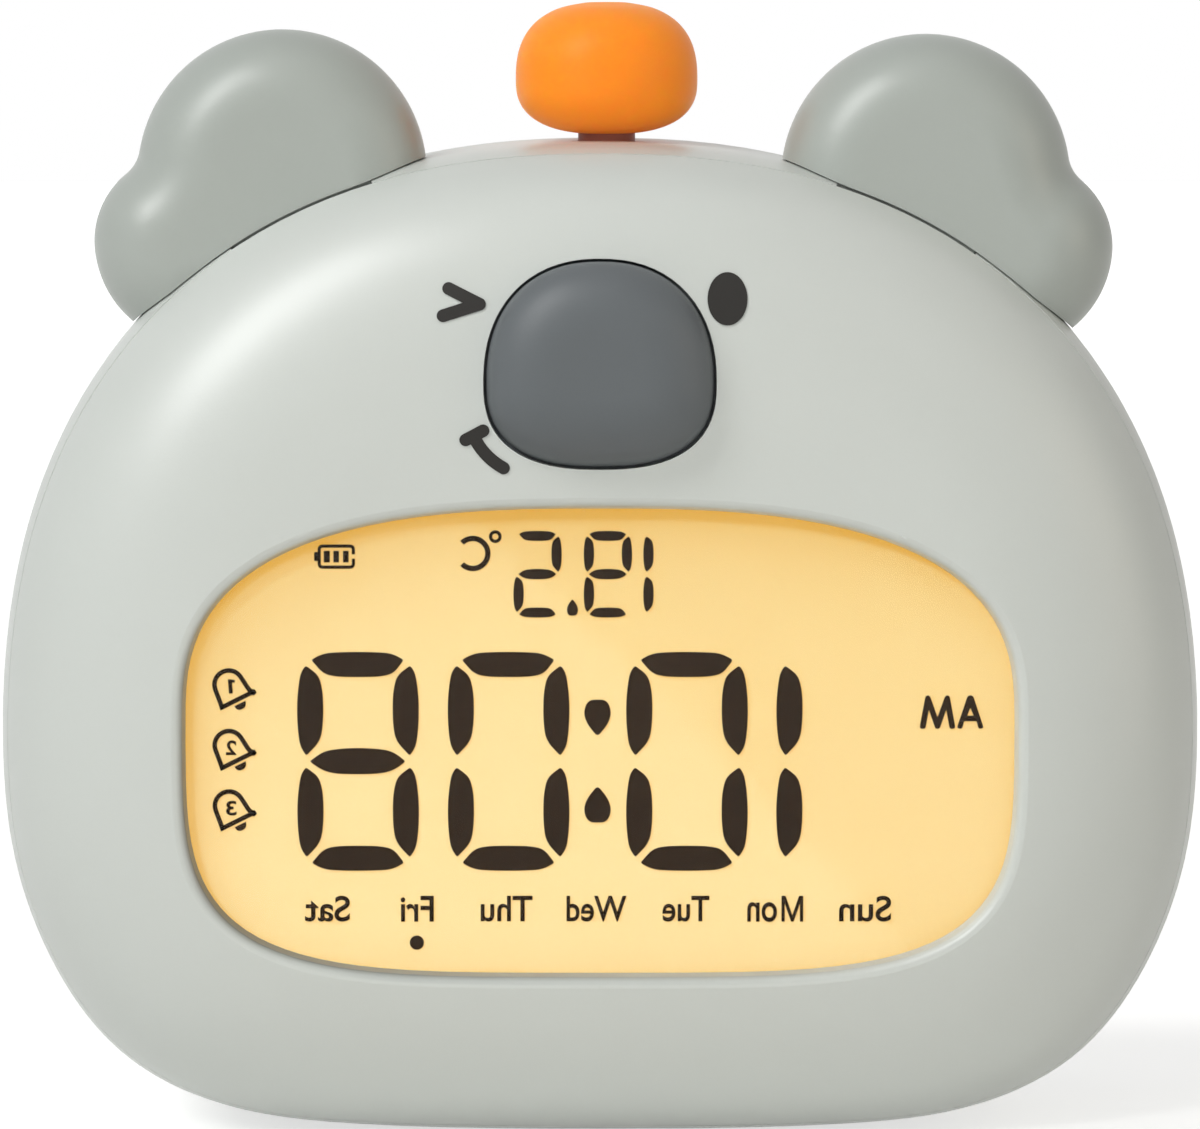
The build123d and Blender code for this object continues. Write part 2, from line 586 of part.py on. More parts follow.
def ear_blank(shrink):
    """The ear's rounded body on the +X side, drawn in by shrink on every side."""
    y = EAR_FRONT_Y + shrink
    lobe_reach, tip_reach = EAR_LOBE_RADIUS + EAR_NOTCH_RADIUS, EAR_TIP_RADIUS + EAR_NOTCH_RADIUS
    span = math.dist(EAR_LOBE, EAR_TIP)
    swing = math.acos((lobe_reach ** 2 + span ** 2 - tip_reach ** 2) / (2 * lobe_reach * span))
    notch = spot(EAR_LOBE, lobe_reach, bearing(EAR_LOBE, EAR_TIP) + swing)
    belly = spot(EAR_TIP, EAR_TIP_RADIUS - EAR_BELLY_RADIUS, EAR_BELLY_TURNS[1])
    lean = math.acos(EAR_LOBE_RADIUS / math.dist(EAR_LOBE, EAR_ROOT_INNER))
    lean = (bearing(EAR_LOBE, EAR_ROOT_INNER) - lean) % (2 * math.pi)
    root_x, root_z = spot(EAR_ROOT_INNER, -shrink, lean)
    root = Vector(root_x, y, root_z)
    arcs = [
        arc(belly, EAR_BELLY_RADIUS - shrink, *EAR_BELLY_TURNS, y),
        arc(EAR_TIP, EAR_TIP_RADIUS - shrink, EAR_BELLY_TURNS[1], bearing(EAR_TIP, notch), y),
        arc(notch, EAR_NOTCH_RADIUS + shrink, bearing(notch, EAR_TIP), bearing(notch, EAR_LOBE), y),
        arc(EAR_LOBE, EAR_LOBE_RADIUS - shrink, bearing(EAR_LOBE, notch), lean, y),
    ]
    sides = [Edge.make_line(arcs[-1] @ 1, root), Edge.make_line(root, arcs[0] @ 0)]
    plate = extrude(Face(Wire(arcs + sides)), amount=EAR_DEPTH - 2 * shrink, dir=(0, 1, 0))
    rims = [e for e in plate.edges() if abs(e.tangent_at(0.5).Y) < 0.5]
    return fillet(rims, EAR_ROUND - shrink)


def seated_ear(side, shrink):
    """The ear's body on its own side of the head, turned to its seat."""
    blank = ear_blank(shrink)
    if side < 0:
        blank = blank.mirror(Plane.YZ)
    return Pos(0, 0, HEAD_Z) * Rot(0, EAR_TURN, 0) * Pos(0, 0, -HEAD_Z) * blank


def ear_halves(side):
    """The front and rear mouldings of one ear; the front one carries the neck and its flange."""
    cavity = seated_ear(side, EAR_WALL) - pillow(-EAR_GAP - EAR_WALL)
    body = seated_ear(side, 0.0) - pillow(-EAR_GAP) - cavity
    front = body & layer(EAR_FRONT_Y - PAST, EAR_MIDDLE_Y)
    rear = body & layer(EAR_MIDDLE_Y, EAR_FRONT_Y + EAR_DEPTH + PAST)
    flange_top = WALL + FIT
    core = pillow(flange_top + NECK_FLANGE_THICKNESS)
    neck = neck_bar(side, EAR_FRONT_Y + NECK_SETBACK, EAR_MIDDLE_Y, NECK_WIDTH)
    neck = (neck & pillow(-EAR_GAP - EAR_WALL / 2)) - core
    flange = neck_bar(side, EAR_FRONT_Y, EAR_MIDDLE_Y, NECK_WIDTH + 2 * NECK_FLANGE)
    flange = (flange & pillow(flange_top)) - core
    return front + neck + flange, rear


# ------------------------------------------------------------------ display stack
def display_lens():
    """The clear cover of the display."""
    return WINDOW.slab(LENS_Y, LENS_Y + LENS_THICKNESS, FIT - POCKET_MARGIN)


def lcd_glass():
    """The display's glass, behind its figures."""
    return WINDOW.slab(GLASS_Y, GLASS_Y + GLASS_THICKNESS, FIT - POCKET_MARGIN)


def zebra_base():
    """The height of the contact strip's lower side."""
    return WINDOW_Z - WINDOW_DROP - ZEBRA_DROP


def light_guide():
    """The clear sheet that spreads the backlight, down to the contact strip."""
    guide = WINDOW.slab(GUIDE_Y, GUIDE_Y + GUIDE_THICKNESS, FIT - POCKET_MARGIN)
    foot = zebra_base() + ZEBRA_HEIGHT + FIT
    return guide & block(-HEAD_HALF_WIDTH, HEAD_HALF_WIDTH, FRONT_Y, REAR_Y, foot, CROWN_Z)


def zebra_strip():
    """The rubber contact strip between the foot of the glass and the board."""
    z = zebra_base()
    return block(-ZEBRA_HALF, ZEBRA_HALF, GLASS_Y + GLASS_THICKNESS, BOARD_Y, z, z + ZEBRA_HEIGHT)


def backlight_leds():
    """Six lamps on the board, behind the light guide."""
    leds = []
    for i in (-1, 0, 1):
        for z in (WINDOW_Z - WINDOW_DROP / 2, WINDOW_Z + WINDOW_RISE / 2):
            x = i * BACKLIGHT_PITCH
            leds.append(block(x - LED_HALF_LENGTH, x + LED_HALF_LENGTH, BOARD_Y - LED_THICKNESS, BOARD_Y,
                              z - LED_HALF_WIDTH, z + LED_HALF_WIDTH))
    return Compound(children=leds)


def bar_segment(x0, z0, x1, z1, stroke):
    """A display segment with pointed ends, lying on the front of the glass."""
    dx, dz = x1 - x0, z1 - z0
    span = math.hypot(dx, dz)
    ux, uz = dx / span, dz / span
    half = stroke / 2
    shoulders = [(x0 + ux * half, z0 + uz * half), (x1 - ux * half, z1 - uz * half)]
    points = [(x0, z0)]
    points += [(x - uz * half, z + ux * half) for x, z in shoulders]
    points.append((x1, z1))
    points += [(x + uz * half, z - ux * half) for x, z in reversed(shoulders)]
    ring = Wire.make_polygon([Vector(x, GLASS_Y - SEGMENT_THICKNESS, z) for x, z in points])
    return extrude(Face(ring), amount=SEGMENT_THICKNESS, dir=(0, 1, 0))


def digit(left, base, width, height, stroke, lit):
    """The lit segments of one seven-segment figure."""
    half, gap = stroke / 2, stroke * SEGMENT_GAP
    right, top, middle = left + width, base + height, base + height / 2
    low, high = base + half, top - half
    x0, x1 = left + half, right - half
    rows = {"a": high, "g": middle, "d": low}
    columns = {
        "f": (x0, middle, high), "e": (x0, low, middle),
        "b": (x1, middle, high), "c": (x1, low, middle),
    }
    pieces = []
    for name in lit:
        if name in rows:
            pieces.append(bar_segment(x0 + gap, rows[name], x1 - gap, rows[name], stroke))
        else:
            x, z0, z1 = columns[name]
            pieces.append(bar_segment(x, z0 + gap, x, z1 - gap, stroke))
    return pieces


def lcd_digits():
    """The figures of the time and of the temperature, with the dots between them."""
    faces = (GLASS_Y - SEGMENT_THICKNESS, GLASS_Y)
    pieces = []
    for left, lit in zip(DIGIT_LEFTS, DIGIT_SEGMENTS):
        pieces += digit(left, DIGIT_BASE_Z, DIGIT_WIDTH, DIGIT_HEIGHT, DIGIT_STROKE, lit)
    for left, lit in zip(SMALL_LEFTS, SMALL_SEGMENTS):
        pieces += digit(left, SMALL_BASE_Z, SMALL_WIDTH, SMALL_HEIGHT, SMALL_STROKE, lit)
    for rise in COLON_RISES:
        pieces.append(rod(COLON_X, DIGIT_BASE_Z + rise, DIGIT_STROKE / 2, *faces))
    point_x = (SMALL_LEFTS[0] + SMALL_WIDTH + SMALL_LEFTS[1]) / 2
    point_z = SMALL_BASE_Z + SMALL_STROKE / 2
    pieces.append(rod(point_x, point_z, SMALL_STROKE / 2, *faces))
    return Compound(children=pieces)


# ------------------------------------------------------------------ printed face
def printed(shape):
    """A film of ink on the face, cut to a shape that runs along Y."""
    return shape & band(-PRINT_THICKNESS, 0.0, FRONT_Y - PAST, PARTING_Y)


def stroke(start, end):
    """A round-ended pen stroke, run along Y through the face."""
    (x0, z0), (x1, z1) = start, end
    span = math.hypot(x1 - x0, z1 - z0)
    plan = Plane(origin=((x0 + x1) / 2, FRONT_Y - PAST, (z0 + z1) / 2),
                 x_dir=(x1 - x0, 0, z1 - z0), z_dir=(0, 1, 0))
    return extrude(plan * SlotCenterToCenter(span, PRINT_STROKE), amount=PARTING_Y - FRONT_Y)


def eye_print():
    """The open eye."""
    plan = Plane(origin=(EYE_X, FRONT_Y - PAST, EYE_Z), x_dir=(1, 0, 0), z_dir=(0, 1, 0))
    return printed(extrude(plan * Ellipse(EYE_HALF_WIDTH, EYE_HALF_HEIGHT), amount=PARTING_Y - FRONT_Y))


def wink_print():
    """The winking eye."""
    return printed(stroke(*WINK_POINTS[:2]) + stroke(*WINK_POINTS[1:]))


def mouth_print():
    """The half smile and the cheek line across its end."""
    plan = Plane(origin=(0, FRONT_Y - PAST, 0), x_dir=(1, 0, 0), z_dir=(0, 1, 0))
    curve = ThreePointArc(*((x, -z) for x, z in MOUTH_POINTS))
    smile = extrude(plan * SlotArc(curve, PRINT_STROKE), amount=PARTING_Y - FRONT_Y)
    return printed(stroke(*CHEEK_STROKE) + smile)


# ------------------------------------------------------------------ nose button
def nose_form(inset):
    """The nose's domed body, drawn in by inset, open-ended behind."""
    front = NOSE_FRONT_Y + inset
    base = NOSE_FRONT_Y + NOSE_DOME_DEPTH
    rings = []
    for step in range(DOME_STEPS, 0, -1):
        turn = math.pi / 2 * step / DOME_STEPS
        y = base - (base - front) * math.sin(turn)
        rings.append(NOSE.ring(y, inset + (NOSE_BLEND - inset) * (1 - max(math.cos(turn), 0.0))))
    rings.append(NOSE.ring(base, inset))
    return Solid.make_loft(rings) + NOSE.slab(base, BOARD_Y, inset)


def nose_plunger_y():
    """Where the nose's post meets its switch."""
    return BOARD_Y - SWITCH_HEIGHT - PLUNGER_REACH


def nose_button():
    """The nose: a domed cap with a flange inside the face and a post to its switch."""
    flange_front = WALL + FIT
    flange_back = flange_front + FLANGE_THICKNESS
    body = nose_form(0.0) - nose_form(NOSE_WALL) - pillow(flange_back)
    flange = NOSE.slab(FRONT_Y, BOARD_Y, -NOSE_FLANGE) & pillow(flange_front)
    flange = flange - pillow(flange_back) - NOSE.slab(FRONT_Y, BOARD_Y, NOSE_WALL)
    post = rod(0, NOSE_Z, POST_RADIUS, NOSE_FRONT_Y + NOSE_WALL / 2, nose_plunger_y())
    return body + flange + post


def nose_spring():
    """The return spring between the main board and the inside of the nose."""
    room = BOARD_Y - (NOSE_FRONT_Y + NOSE_WALL)
    return coil(spring_radius(), 0, BOARD_Y, NOSE_Z, room - 2 * LOOSE, (0, -1, 0))


# ------------------------------------------------------------------ push switches
def spring_radius():
    """A spring runs round a square switch with a little room at its corners."""
    return SWITCH_SIDE / math.sqrt(2) + SPRING_WIRE / 2 + LOOSE


def switch(place):
    """A square push switch that stands on the origin of a plane, bored for its plunger."""
    body = Box(SWITCH_SIDE, SWITCH_SIDE, SWITCH_HEIGHT, align=(Align.CENTER, Align.CENTER, Align.MIN))
    depth = PLUNGER_DEPTH + NOSE_TRAVEL + LOOSE
    bore = Pos(0, 0, SWITCH_HEIGHT - depth) * Cylinder(
        PLUNGER_RADIUS + RUNNING, depth, align=(Align.CENTER, Align.CENTER, Align.MIN))
    return place.location * (body - bore)


def plunger(place):
    """The stem of a push switch, up to whatever presses on it."""
    length = PLUNGER_DEPTH + PLUNGER_REACH
    stem = Cylinder(PLUNGER_RADIUS, length, align=(Align.CENTER, Align.CENTER, Align.MIN))
    return place.location * Pos(0, 0, SWITCH_HEIGHT - PLUNGER_DEPTH) * stem


NOSE_SWITCH_PLACE = Plane(origin=(0, BOARD_Y, NOSE_Z), z_dir=(0, -1, 0))


# ------------------------------------------------------------------ knob and lamp board
def stem_foot():
    """The height of the stem's lower end, one clip below the groove."""
    return knob_guide_space() - FIT - 2 * CLIP_THICKNESS


def lamp_board_top():
    """The height of the lamp board's upper face."""
    return stem_foot() - PLUNGER_REACH - SWITCH_HEIGHT


def knob():
    """A turned ball with a flattened underside, bored for its stem."""
    widest = KNOB_TOP_Z - KNOB_RISE
    power = 2 / KNOB_POWER
    profile = []
    for i in range(2 * KNOB_STEPS + 1):
        turn = math.pi / 2 * (i / KNOB_STEPS - 1)
        tall = KNOB_RISE if turn > 0 else KNOB_FALL
        x = KNOB_RADIUS * abs(math.cos(turn)) ** power if 0 < i < 2 * KNOB_STEPS else 0.0
        profile.append(Vector(x, 0, widest + math.copysign(tall * abs(math.sin(turn)) ** power, turn)))
    curve = Edge.make_spline(profile, tangents=[Vector(1, 0, 0), Vector(-1, 0, 0)])
    face = Face(Wire([curve, Edge.make_line(profile[-1], profile[0])]))
    ball = Pos(KNOB_X, KNOB_Y, 0) * revolve(face, axis=Axis.Z)
    return ball - upright(KNOB_X, KNOB_Y, STEM_RADIUS, KNOB_TOP_Z - 2 * KNOB_RADIUS, socket_top())


def socket_top():
    """The height of the blind end of the knob's bore."""
    return KNOB_TOP_Z - KNOB_RISE - KNOB_FALL + STEM_SOCKET_DEPTH


def knob_stem():
    """The knob's shaft, with a groove for its clip."""
    stem = upright(KNOB_X, KNOB_Y, STEM_RADIUS, stem_foot(), socket_top())
    low = stem_foot() + CLIP_THICKNESS
    groove = upright(KNOB_X, KNOB_Y, STEM_RADIUS + PAST, low, low + CLIP_THICKNESS)
    return stem - (groove - upright(KNOB_X, KNOB_Y, STEM_RADIUS - GROOVE_DEPTH, low, low + CLIP_THICKNESS))


def knob_clip():
    """A split ring in the stem's groove, which stops the knob at the top of its travel."""
    faces = (stem_foot() + CLIP_THICKNESS, stem_foot() + 2 * CLIP_THICKNESS)
    ring = upright(KNOB_X, KNOB_Y, CLIP_RADIUS, *faces)
    ring -= upright(KNOB_X, KNOB_Y, STEM_RADIUS - GROOVE_DEPTH, *faces)
    half = STEM_RADIUS - GROOVE_DEPTH - FIT
    return ring - block(KNOB_X - half, KNOB_X + half, KNOB_Y, KNOB_Y + 2 * CLIP_RADIUS, *faces)


def knob_spring():
    """The return spring between the lamp board and the knob's clip."""
    base = lamp_board_top()
    return coil(spring_radius(), KNOB_X, KNOB_Y, base, stem_foot() + CLIP_THICKNESS - base, (0, 0, 1))


def lamp_board():
    """The small board under the crown."""
    y0, y1 = LAMP_BOARD_Y
    top = lamp_board_top()
    board = block(KNOB_X - LAMP_BOARD_HALF, KNOB_X + LAMP_BOARD_HALF, y0, y1, top - BOARD_THICKNESS, top)
    for side in (-1, 1):
        board -= upright(
            KNOB_X + side * LAMP_POST_SPREAD, KNOB_Y, SCREW_RADIUS + FIT, top - BOARD_THICKNESS, top)
    return board


def lamp_board_screws():
    """Two screws that come up from below the lamp board."""
    seat = lamp_board_top() - BOARD_THICKNESS
    screws = []
    for side in (-1, 1):
        flat = pan_screw(0, 0, 0, SCREW_LENGTH, 1)
        screws.append(Pos(KNOB_X + side * LAMP_POST_SPREAD, KNOB_Y, seat) * Rot(90, 0, 0) * flat)
    return Compound(children=screws)


def night_light_leds():
    """Four warm lamps round the knob's switch."""
    top = lamp_board_top()
    leds = []
    for side_x in (-1, 1):
        for side_y in (-1, 1):
            x = KNOB_X + side_x * NIGHT_LED_X
            y = sum(LAMP_BOARD_Y) / 2 + side_y * NIGHT_LED_Y
            leds.append(block(x - LED_HALF_LENGTH, x + LED_HALF_LENGTH, y - LED_HALF_WIDTH,
                              y + LED_HALF_WIDTH, top, top + NIGHT_LED_HEIGHT))
    return Compound(children=leds)


KNOB_SWITCH_PLACE = Plane(origin=(KNOB_X, KNOB_Y, lamp_board_top()))


# ------------------------------------------------------------------ main board, battery, rear board
def main_board():
    """The board behind the display, with a tab up to the nose's switch."""
    z0, z1 = MAIN_BOARD_Z
    faces = (BOARD_Y, BOARD_REAR_Y)
    board = rounded_plate(-MAIN_BOARD_HALF, MAIN_BOARD_HALF, z0, z1, MAIN_BOARD_CORNER, *faces)
    board += rounded_plate(-TAB_HALF, TAB_HALF, z1 - TAB_HALF, TAB_TOP_Z, MAIN_BOARD_CORNER / 2, *faces)
    for x, z in mirrored_pair(BOARD_POSTS):
        board -= rod(x, z, SCREW_RADIUS + FIT, *faces)
    return board


def main_board_screws():
    """Four screws into the face's posts."""
    places = mirrored_pair(BOARD_POSTS)
    return Compound(children=[pan_screw(x, z, BOARD_REAR_Y, SCREW_LENGTH, -1) for x, z in places])


def main_board_chips():
    """The controller, its crystal and the charger, on the rear of the main board."""
    chips = []
    for x, z, half, height in CHIPS:
        chips.append(block(x - half, x + half, BOARD_REAR_Y, BOARD_REAR_Y + height, z - half, z + half))
    return Compound(children=chips)


def battery_tape():
    """The foam that sticks the cell to the main board."""
    half = CELL_HALF_WIDTH - TAPE_MARGIN
    z0, z1 = CELL_Z[0] + TAPE_MARGIN, CELL_Z[1] - TAPE_MARGIN
    return block(-half, half, BOARD_REAR_Y, BOARD_REAR_Y + CELL_TAPE, z0, z1)


def battery_cell():
    """A flat lithium cell with rounded long sides."""
    y = BOARD_REAR_Y + CELL_TAPE
    cell = block(-CELL_HALF_WIDTH, CELL_HALF_WIDTH, y, y + CELL_THICKNESS, *CELL_Z)
    return fillet(cell.edges().filter_by(Axis.Z), CELL_ROUND)


def connector(place, y):
    """A small board connector whose low corner is at place, between y and its height."""
    x, z = place
    return block(x, x + CONNECTOR_LENGTH, y, y + CONNECTOR_HEIGHT, z, z + CONNECTOR_WIDTH)


def main_board_connectors():
    """The sockets of the battery, ribbon and lamp leads."""
    places = (BATTERY_CONNECTOR, RIBBON_CONNECTOR, LAMP_CONNECTOR)
    return Compound(children=[connector(place, BOARD_REAR_Y) for place in places])


def rear_board_connectors():
    """The sockets of the ribbon and of the speaker lead."""
    ribbon = connector(RIBBON_CONNECTOR, REAR_BOARD_Y - CONNECTOR_HEIGHT)
    return Compound(children=[ribbon, connector(SPEAKER_CONNECTOR, REAR_BOARD_REAR_Y)])


def rear_board():
    """The board behind the rear buttons, with a leg down to the charging socket."""
    z0, z1 = REAR_BOARD_Z
    faces = (REAR_BOARD_Y, REAR_BOARD_REAR_Y)
    board = block(-REAR_BOARD_HALF, REAR_BOARD_HALF, *faces, z0, z1)
    board += block(REAR_LEG_X, REAR_BOARD_HALF, *faces, REAR_LEG_Z, z0 + PAST)
    for x, z in rear_posts():
        board -= rod(x, z, SCREW_RADIUS + FIT, *faces)
    return board


def rear_board_screws():
    """Four screws into the posts of the rear shell."""
    return Compound(children=[pan_screw(x, z, REAR_BOARD_Y, SCREW_LENGTH, 1) for x, z in rear_posts()])


def case_screws():
    """Four long screws that hold the two shells together."""
    return Compound(children=[
        pan_screw(x, z, CASE_SCREW_SEAT_Y, CASE_SCREW_LENGTH, -1) for x, z in mirrored_pair(CASE_POSTS)])


def rear_switch_place(x):
    """The seat of the switch behind a rear button."""
    return Plane(origin=(x, REAR_BOARD_REAR_Y, BUTTON_Z), z_dir=(0, 1, 0))


def rear_button(x):
    """A round cap with a flange behind the panel and a post down to its switch."""
    cap = rod(x, BUTTON_Z, BUTTON_RADIUS, BUTTON_FLANGE_Y, REAR_Y - BUTTON_SETBACK)
    cap = fillet(cap.edges().filter_by(GeomType.CIRCLE).sort_by(Axis.Y)[-1:], BUTTON_ROUND)
    flange_rear = BUTTON_FLANGE_Y + FLANGE_THICKNESS
    flange = rod(x, BUTTON_Z, BUTTON_RADIUS + BUTTON_FLANGE, BUTTON_FLANGE_Y, flange_rear)
    post = rod(x, BUTTON_Z, PLUNGER_RADIUS, BUTTON_FLANGE_Y - REAR_SWITCH_GAP, BUTTON_FLANGE_Y)
    return cap + flange + post


def usb_socket():
    """The charging socket: a sheet-metal sleeve with a contact tongue."""
    y0, y1 = REAR_BOARD_REAR_Y, REAR_Y - WALL / 2
    half, tall = USB_WIDTH / 2, USB_HEIGHT / 2
    sleeve = stadium(half, tall, USB_X, USB_Z, y0, y1)
    sleeve -= stadium(half - USB_SHEET, tall - USB_SHEET, USB_X, USB_Z, y0 + USB_BACK, y1)
    return sleeve + block(USB_X - USB_TONGUE_HALF, USB_X + USB_TONGUE_HALF, y0 + USB_BACK / 2,
                          y1 - USB_TONGUE_SETBACK, USB_Z - USB_SHEET, USB_Z + USB_SHEET)


# ------------------------------------------------------------------ speaker
def speaker_back():
    """Where the back of the speaker's frame lies."""
    return SPEAKER_FACE_Y - SPEAKER_FLANGE - SPEAKER_BASKET_DEPTH


def speaker_tab_x():
    """The free end of the terminal tab on the side of the frame."""
    return -SPEAKER_BASKET_RADIUS - SPEAKER_TAB_LENGTH


def speaker_frame():
    """The moulded basket with its flange and its terminal tab."""
    rim_y, back = SPEAKER_FACE_Y - SPEAKER_FLANGE, speaker_back()
    frame = rod(0, SPEAKER_Z, SPEAKER_RADIUS, rim_y, SPEAKER_FACE_Y)
    frame += rod(0, SPEAKER_Z, SPEAKER_BASKET_RADIUS, back, rim_y)
    frame += block(speaker_tab_x(), SPEAKER_WALL - SPEAKER_BASKET_RADIUS, back, back + SPEAKER_TAB_DEPTH,
                   SPEAKER_Z - SPEAKER_TAB_WIDTH / 2, SPEAKER_Z + SPEAKER_TAB_WIDTH / 2)
    bore = SPEAKER_BASKET_RADIUS - SPEAKER_WALL
    return frame - rod(0, SPEAKER_Z, bore, back + SPEAKER_WALL, SPEAKER_FACE_Y + PAST)


def speaker_magnet():
    """The magnet on the back of the frame."""
    return rod(0, SPEAKER_Z, MAGNET_RADIUS, speaker_back() - MAGNET_DEPTH, speaker_back())


def speaker_cone():
    """A paper cone with a dust cap, glued to the inside of the frame."""
    wide, rim_y = SPEAKER_BASKET_RADIUS - SPEAKER_WALL, SPEAKER_FACE_Y - SPEAKER_FLANGE
    place = Plane(origin=(0, rim_y - CONE_DEPTH, SPEAKER_Z), z_dir=(0, 1, 0))
    outer = Solid.make_cone(CONE_NECK_RADIUS, wide, CONE_DEPTH, place)
    inner = Solid.make_cone(CONE_NECK_RADIUS, wide, CONE_DEPTH, place.offset(CONE_THICKNESS))
    neck = rod(0, SPEAKER_Z, CONE_NECK_RADIUS, speaker_back() + SPEAKER_WALL, rim_y - CONE_DEPTH)
    return (outer - inner) + neck


# ------------------------------------------------------------------ leads between the boards
def lead_path(points):
    """Straight runs joined by arcs as large as the runs allow."""
    places = [Vector(*p) for p in points]
    radii = []
    for before, here, after in zip(places, places[1:], places[2:]):
        turn = math.radians((here - before).get_angle(after - here))
        shorter = min((here - before).length, (after - here).length)
        radii.append(0.45 * shorter / math.tan(turn / 2))
    print("lead radii", [round(r, 1) for r in radii])
    return FilletPolyline(*places, radius=radii)


def round_lead(points):
    """A round lead along a route."""
    path = lead_path(points)
    section = Plane(origin=path @ 0, z_dir=path % 0) * Circle(LEAD_RADIUS)
    return sweep(section, path=path)


def battery_lead():
    """A lead that leaves the top of the cell, arches over and enters its connector from above."""
    y, top = BOARD_REAR_Y + CONNECTOR_HEIGHT / 2, CELL_Z[1]
    end_x, end_z = BATTERY_CONNECTOR[0] + CONNECTOR_LENGTH / 2, BATTERY_CONNECTOR[1] + CONNECTOR_WIDTH
    centre = (end_x - LEAD_ARCH, end_z + LEAD_SLACK)
    crest = LEAD_ARCH / math.cos(math.radians(30))
    arch = [spot(centre, crest, math.radians(turn)) for turn in (150, 90, 30)]
    corners = [(x, y, z) for x, z in arch]
    return round_lead([(end_x - 2 * LEAD_ARCH, y, top)] + corners + [(end_x, y, end_z)])


def lamp_lead():
    """A lead from under the lamp board down into its connector on the main board."""
    y = BOARD_REAR_Y + CONNECTOR_HEIGHT / 2
    x, end_z = LAMP_CONNECTOR[0] + CONNECTOR_LENGTH / 2, LAMP_CONNECTOR[1] + CONNECTOR_WIDTH
    board = lamp_board_top() - BOARD_THICKNESS
    run = (board - end_z) / 3
    start = [(x, LAMP_LEAD_Y, board), (x, LAMP_LEAD_Y, board - run)]
    return round_lead(start + [(x, y, end_z + run), (x, y, end_z)])


def speaker_lead():
    """A lead from the speaker's terminal up into the rear board's connector."""
    y = speaker_back() + SPEAKER_TAB_DEPTH / 2
    x, z = speaker_tab_x() + SPEAKER_TAB_LENGTH / 2, SPEAKER_Z + SPEAKER_TAB_WIDTH / 2
    end_x, end_z = SPEAKER_CONNECTOR[0] + CONNECTOR_LENGTH / 2, SPEAKER_CONNECTOR[1]
    run = (end_z - z) / 3
    return round_lead([(x, y, z), (x, y, z + run), (end_x, y, end_z - run), (end_x, y, end_z)])


def board_ribbon():
    """A flat ribbon from the main board to the rear board, with a little slack."""
    y0, y1 = BOARD_REAR_Y + CONNECTOR_HEIGHT, REAR_BOARD_Y - CONNECTOR_HEIGHT
    x, z = RIBBON_CONNECTOR[0] + CONNECTOR_LENGTH / 2, RIBBON_CONNECTOR[1] + CONNECTOR_WIDTH / 2
    quarter = (y1 - y0) / 4
    middle = (x, y0 + 2 * quarter, z - LEAD_SLACK)
    path = lead_path([(x, y0, z), (x, y0 + quarter, z), middle, (x, y1 - quarter, z), (x, y1, z)])
    plan = Plane(origin=path @ 0, x_dir=(1, 0, 0), z_dir=(0, 1, 0))
    return sweep(plan * Rectangle(RIBBON_WIDTH, RIBBON_THICKNESS), path=path)


# ------------------------------------------------------------------ every node of the clock
def all_nodes():
    """Each node's name and its shape."""
    nodes = {
        "front_shell": front_shell(),
        "rear_shell": rear_shell(),
        "eye_print": eye_print(),
        "wink_print": wink_print(),
        "mouth_print": mouth_print(),
        "case_screws": case_screws(),
        "foot_pads": Compound(children=[foot_pad(s * FOOT_X, y) for s in (-1, 1) for y in FOOT_YS]),
        "display_lens": display_lens(),
        "lcd_digits": lcd_digits(),
        "lcd_glass": lcd_glass(),
        "light_guide": light_guide(),
        "backlight_leds": backlight_leds(),
        "zebra_strip": zebra_strip(),
        "main_board": main_board(),
        "main_board_screws": main_board_screws(),
        "main_board_chips": main_board_chips(),
        "main_board_connectors": main_board_connectors(),
        "nose_button": nose_button(),
        "nose_spring": nose_spring(),
        "nose_switch": switch(NOSE_SWITCH_PLACE),
        "nose_plunger": plunger(NOSE_SWITCH_PLACE),
        "knob": knob(),
        "knob_stem": knob_stem(),
        "knob_clip": knob_clip(),
        "knob_spring": knob_spring(),
        "knob_switch": switch(KNOB_SWITCH_PLACE),
        "knob_plunger": plunger(KNOB_SWITCH_PLACE),
        "lamp_board": lamp_board(),
        "lamp_board_screws": lamp_board_screws(),
        "night_light_leds": night_light_leds(),
        "rear_board": rear_board(),
        "rear_board_screws": rear_board_screws(),
        "rear_board_connectors": rear_board_connectors(),
        "rear_switches": Compound(children=[switch(rear_switch_place(x)) for x in button_places().values()]),
        "usb_socket": usb_socket(),
        "speaker_frame": speaker_frame(),
        "speaker_cone": speaker_cone(),
        "speaker_magnet": speaker_magnet(),
        "battery_cell": battery_cell(),
        "battery_tape": battery_tape(),
        "battery_lead": battery_lead(),
        "lamp_lead": lamp_lead(),
        "speaker_lead": speaker_lead(),
        "board_ribbon": board_ribbon(),
    }
    for name, side in (("left", -1), ("right", 1)):
        nodes[f"ear_{name}_front"], nodes[f"ear_{name}_rear"] = ear_halves(side)
    for name, x in button_places().items():
        nodes[f"{name}_button"] = rear_button(x)
        nodes[f"{name}_plunger"] = plunger(rear_switch_place(x))
    return nodes


os.makedirs("parts", exist_ok=True)
for node_name, node_shape in all_nodes().items():
    export_step(node_shape, f"parts/{node_name}.step")
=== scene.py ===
"""A kids' alarm clock with a night light: its finishes, lit display, springs and studio."""

from __future__ import annotations

import logging
import math
from collections.abc import Iterable, Sequence
from dataclasses import dataclass, field
from enum import Enum

import bmesh
import bpy
from mathutils import Matrix, Quaternion, Vector

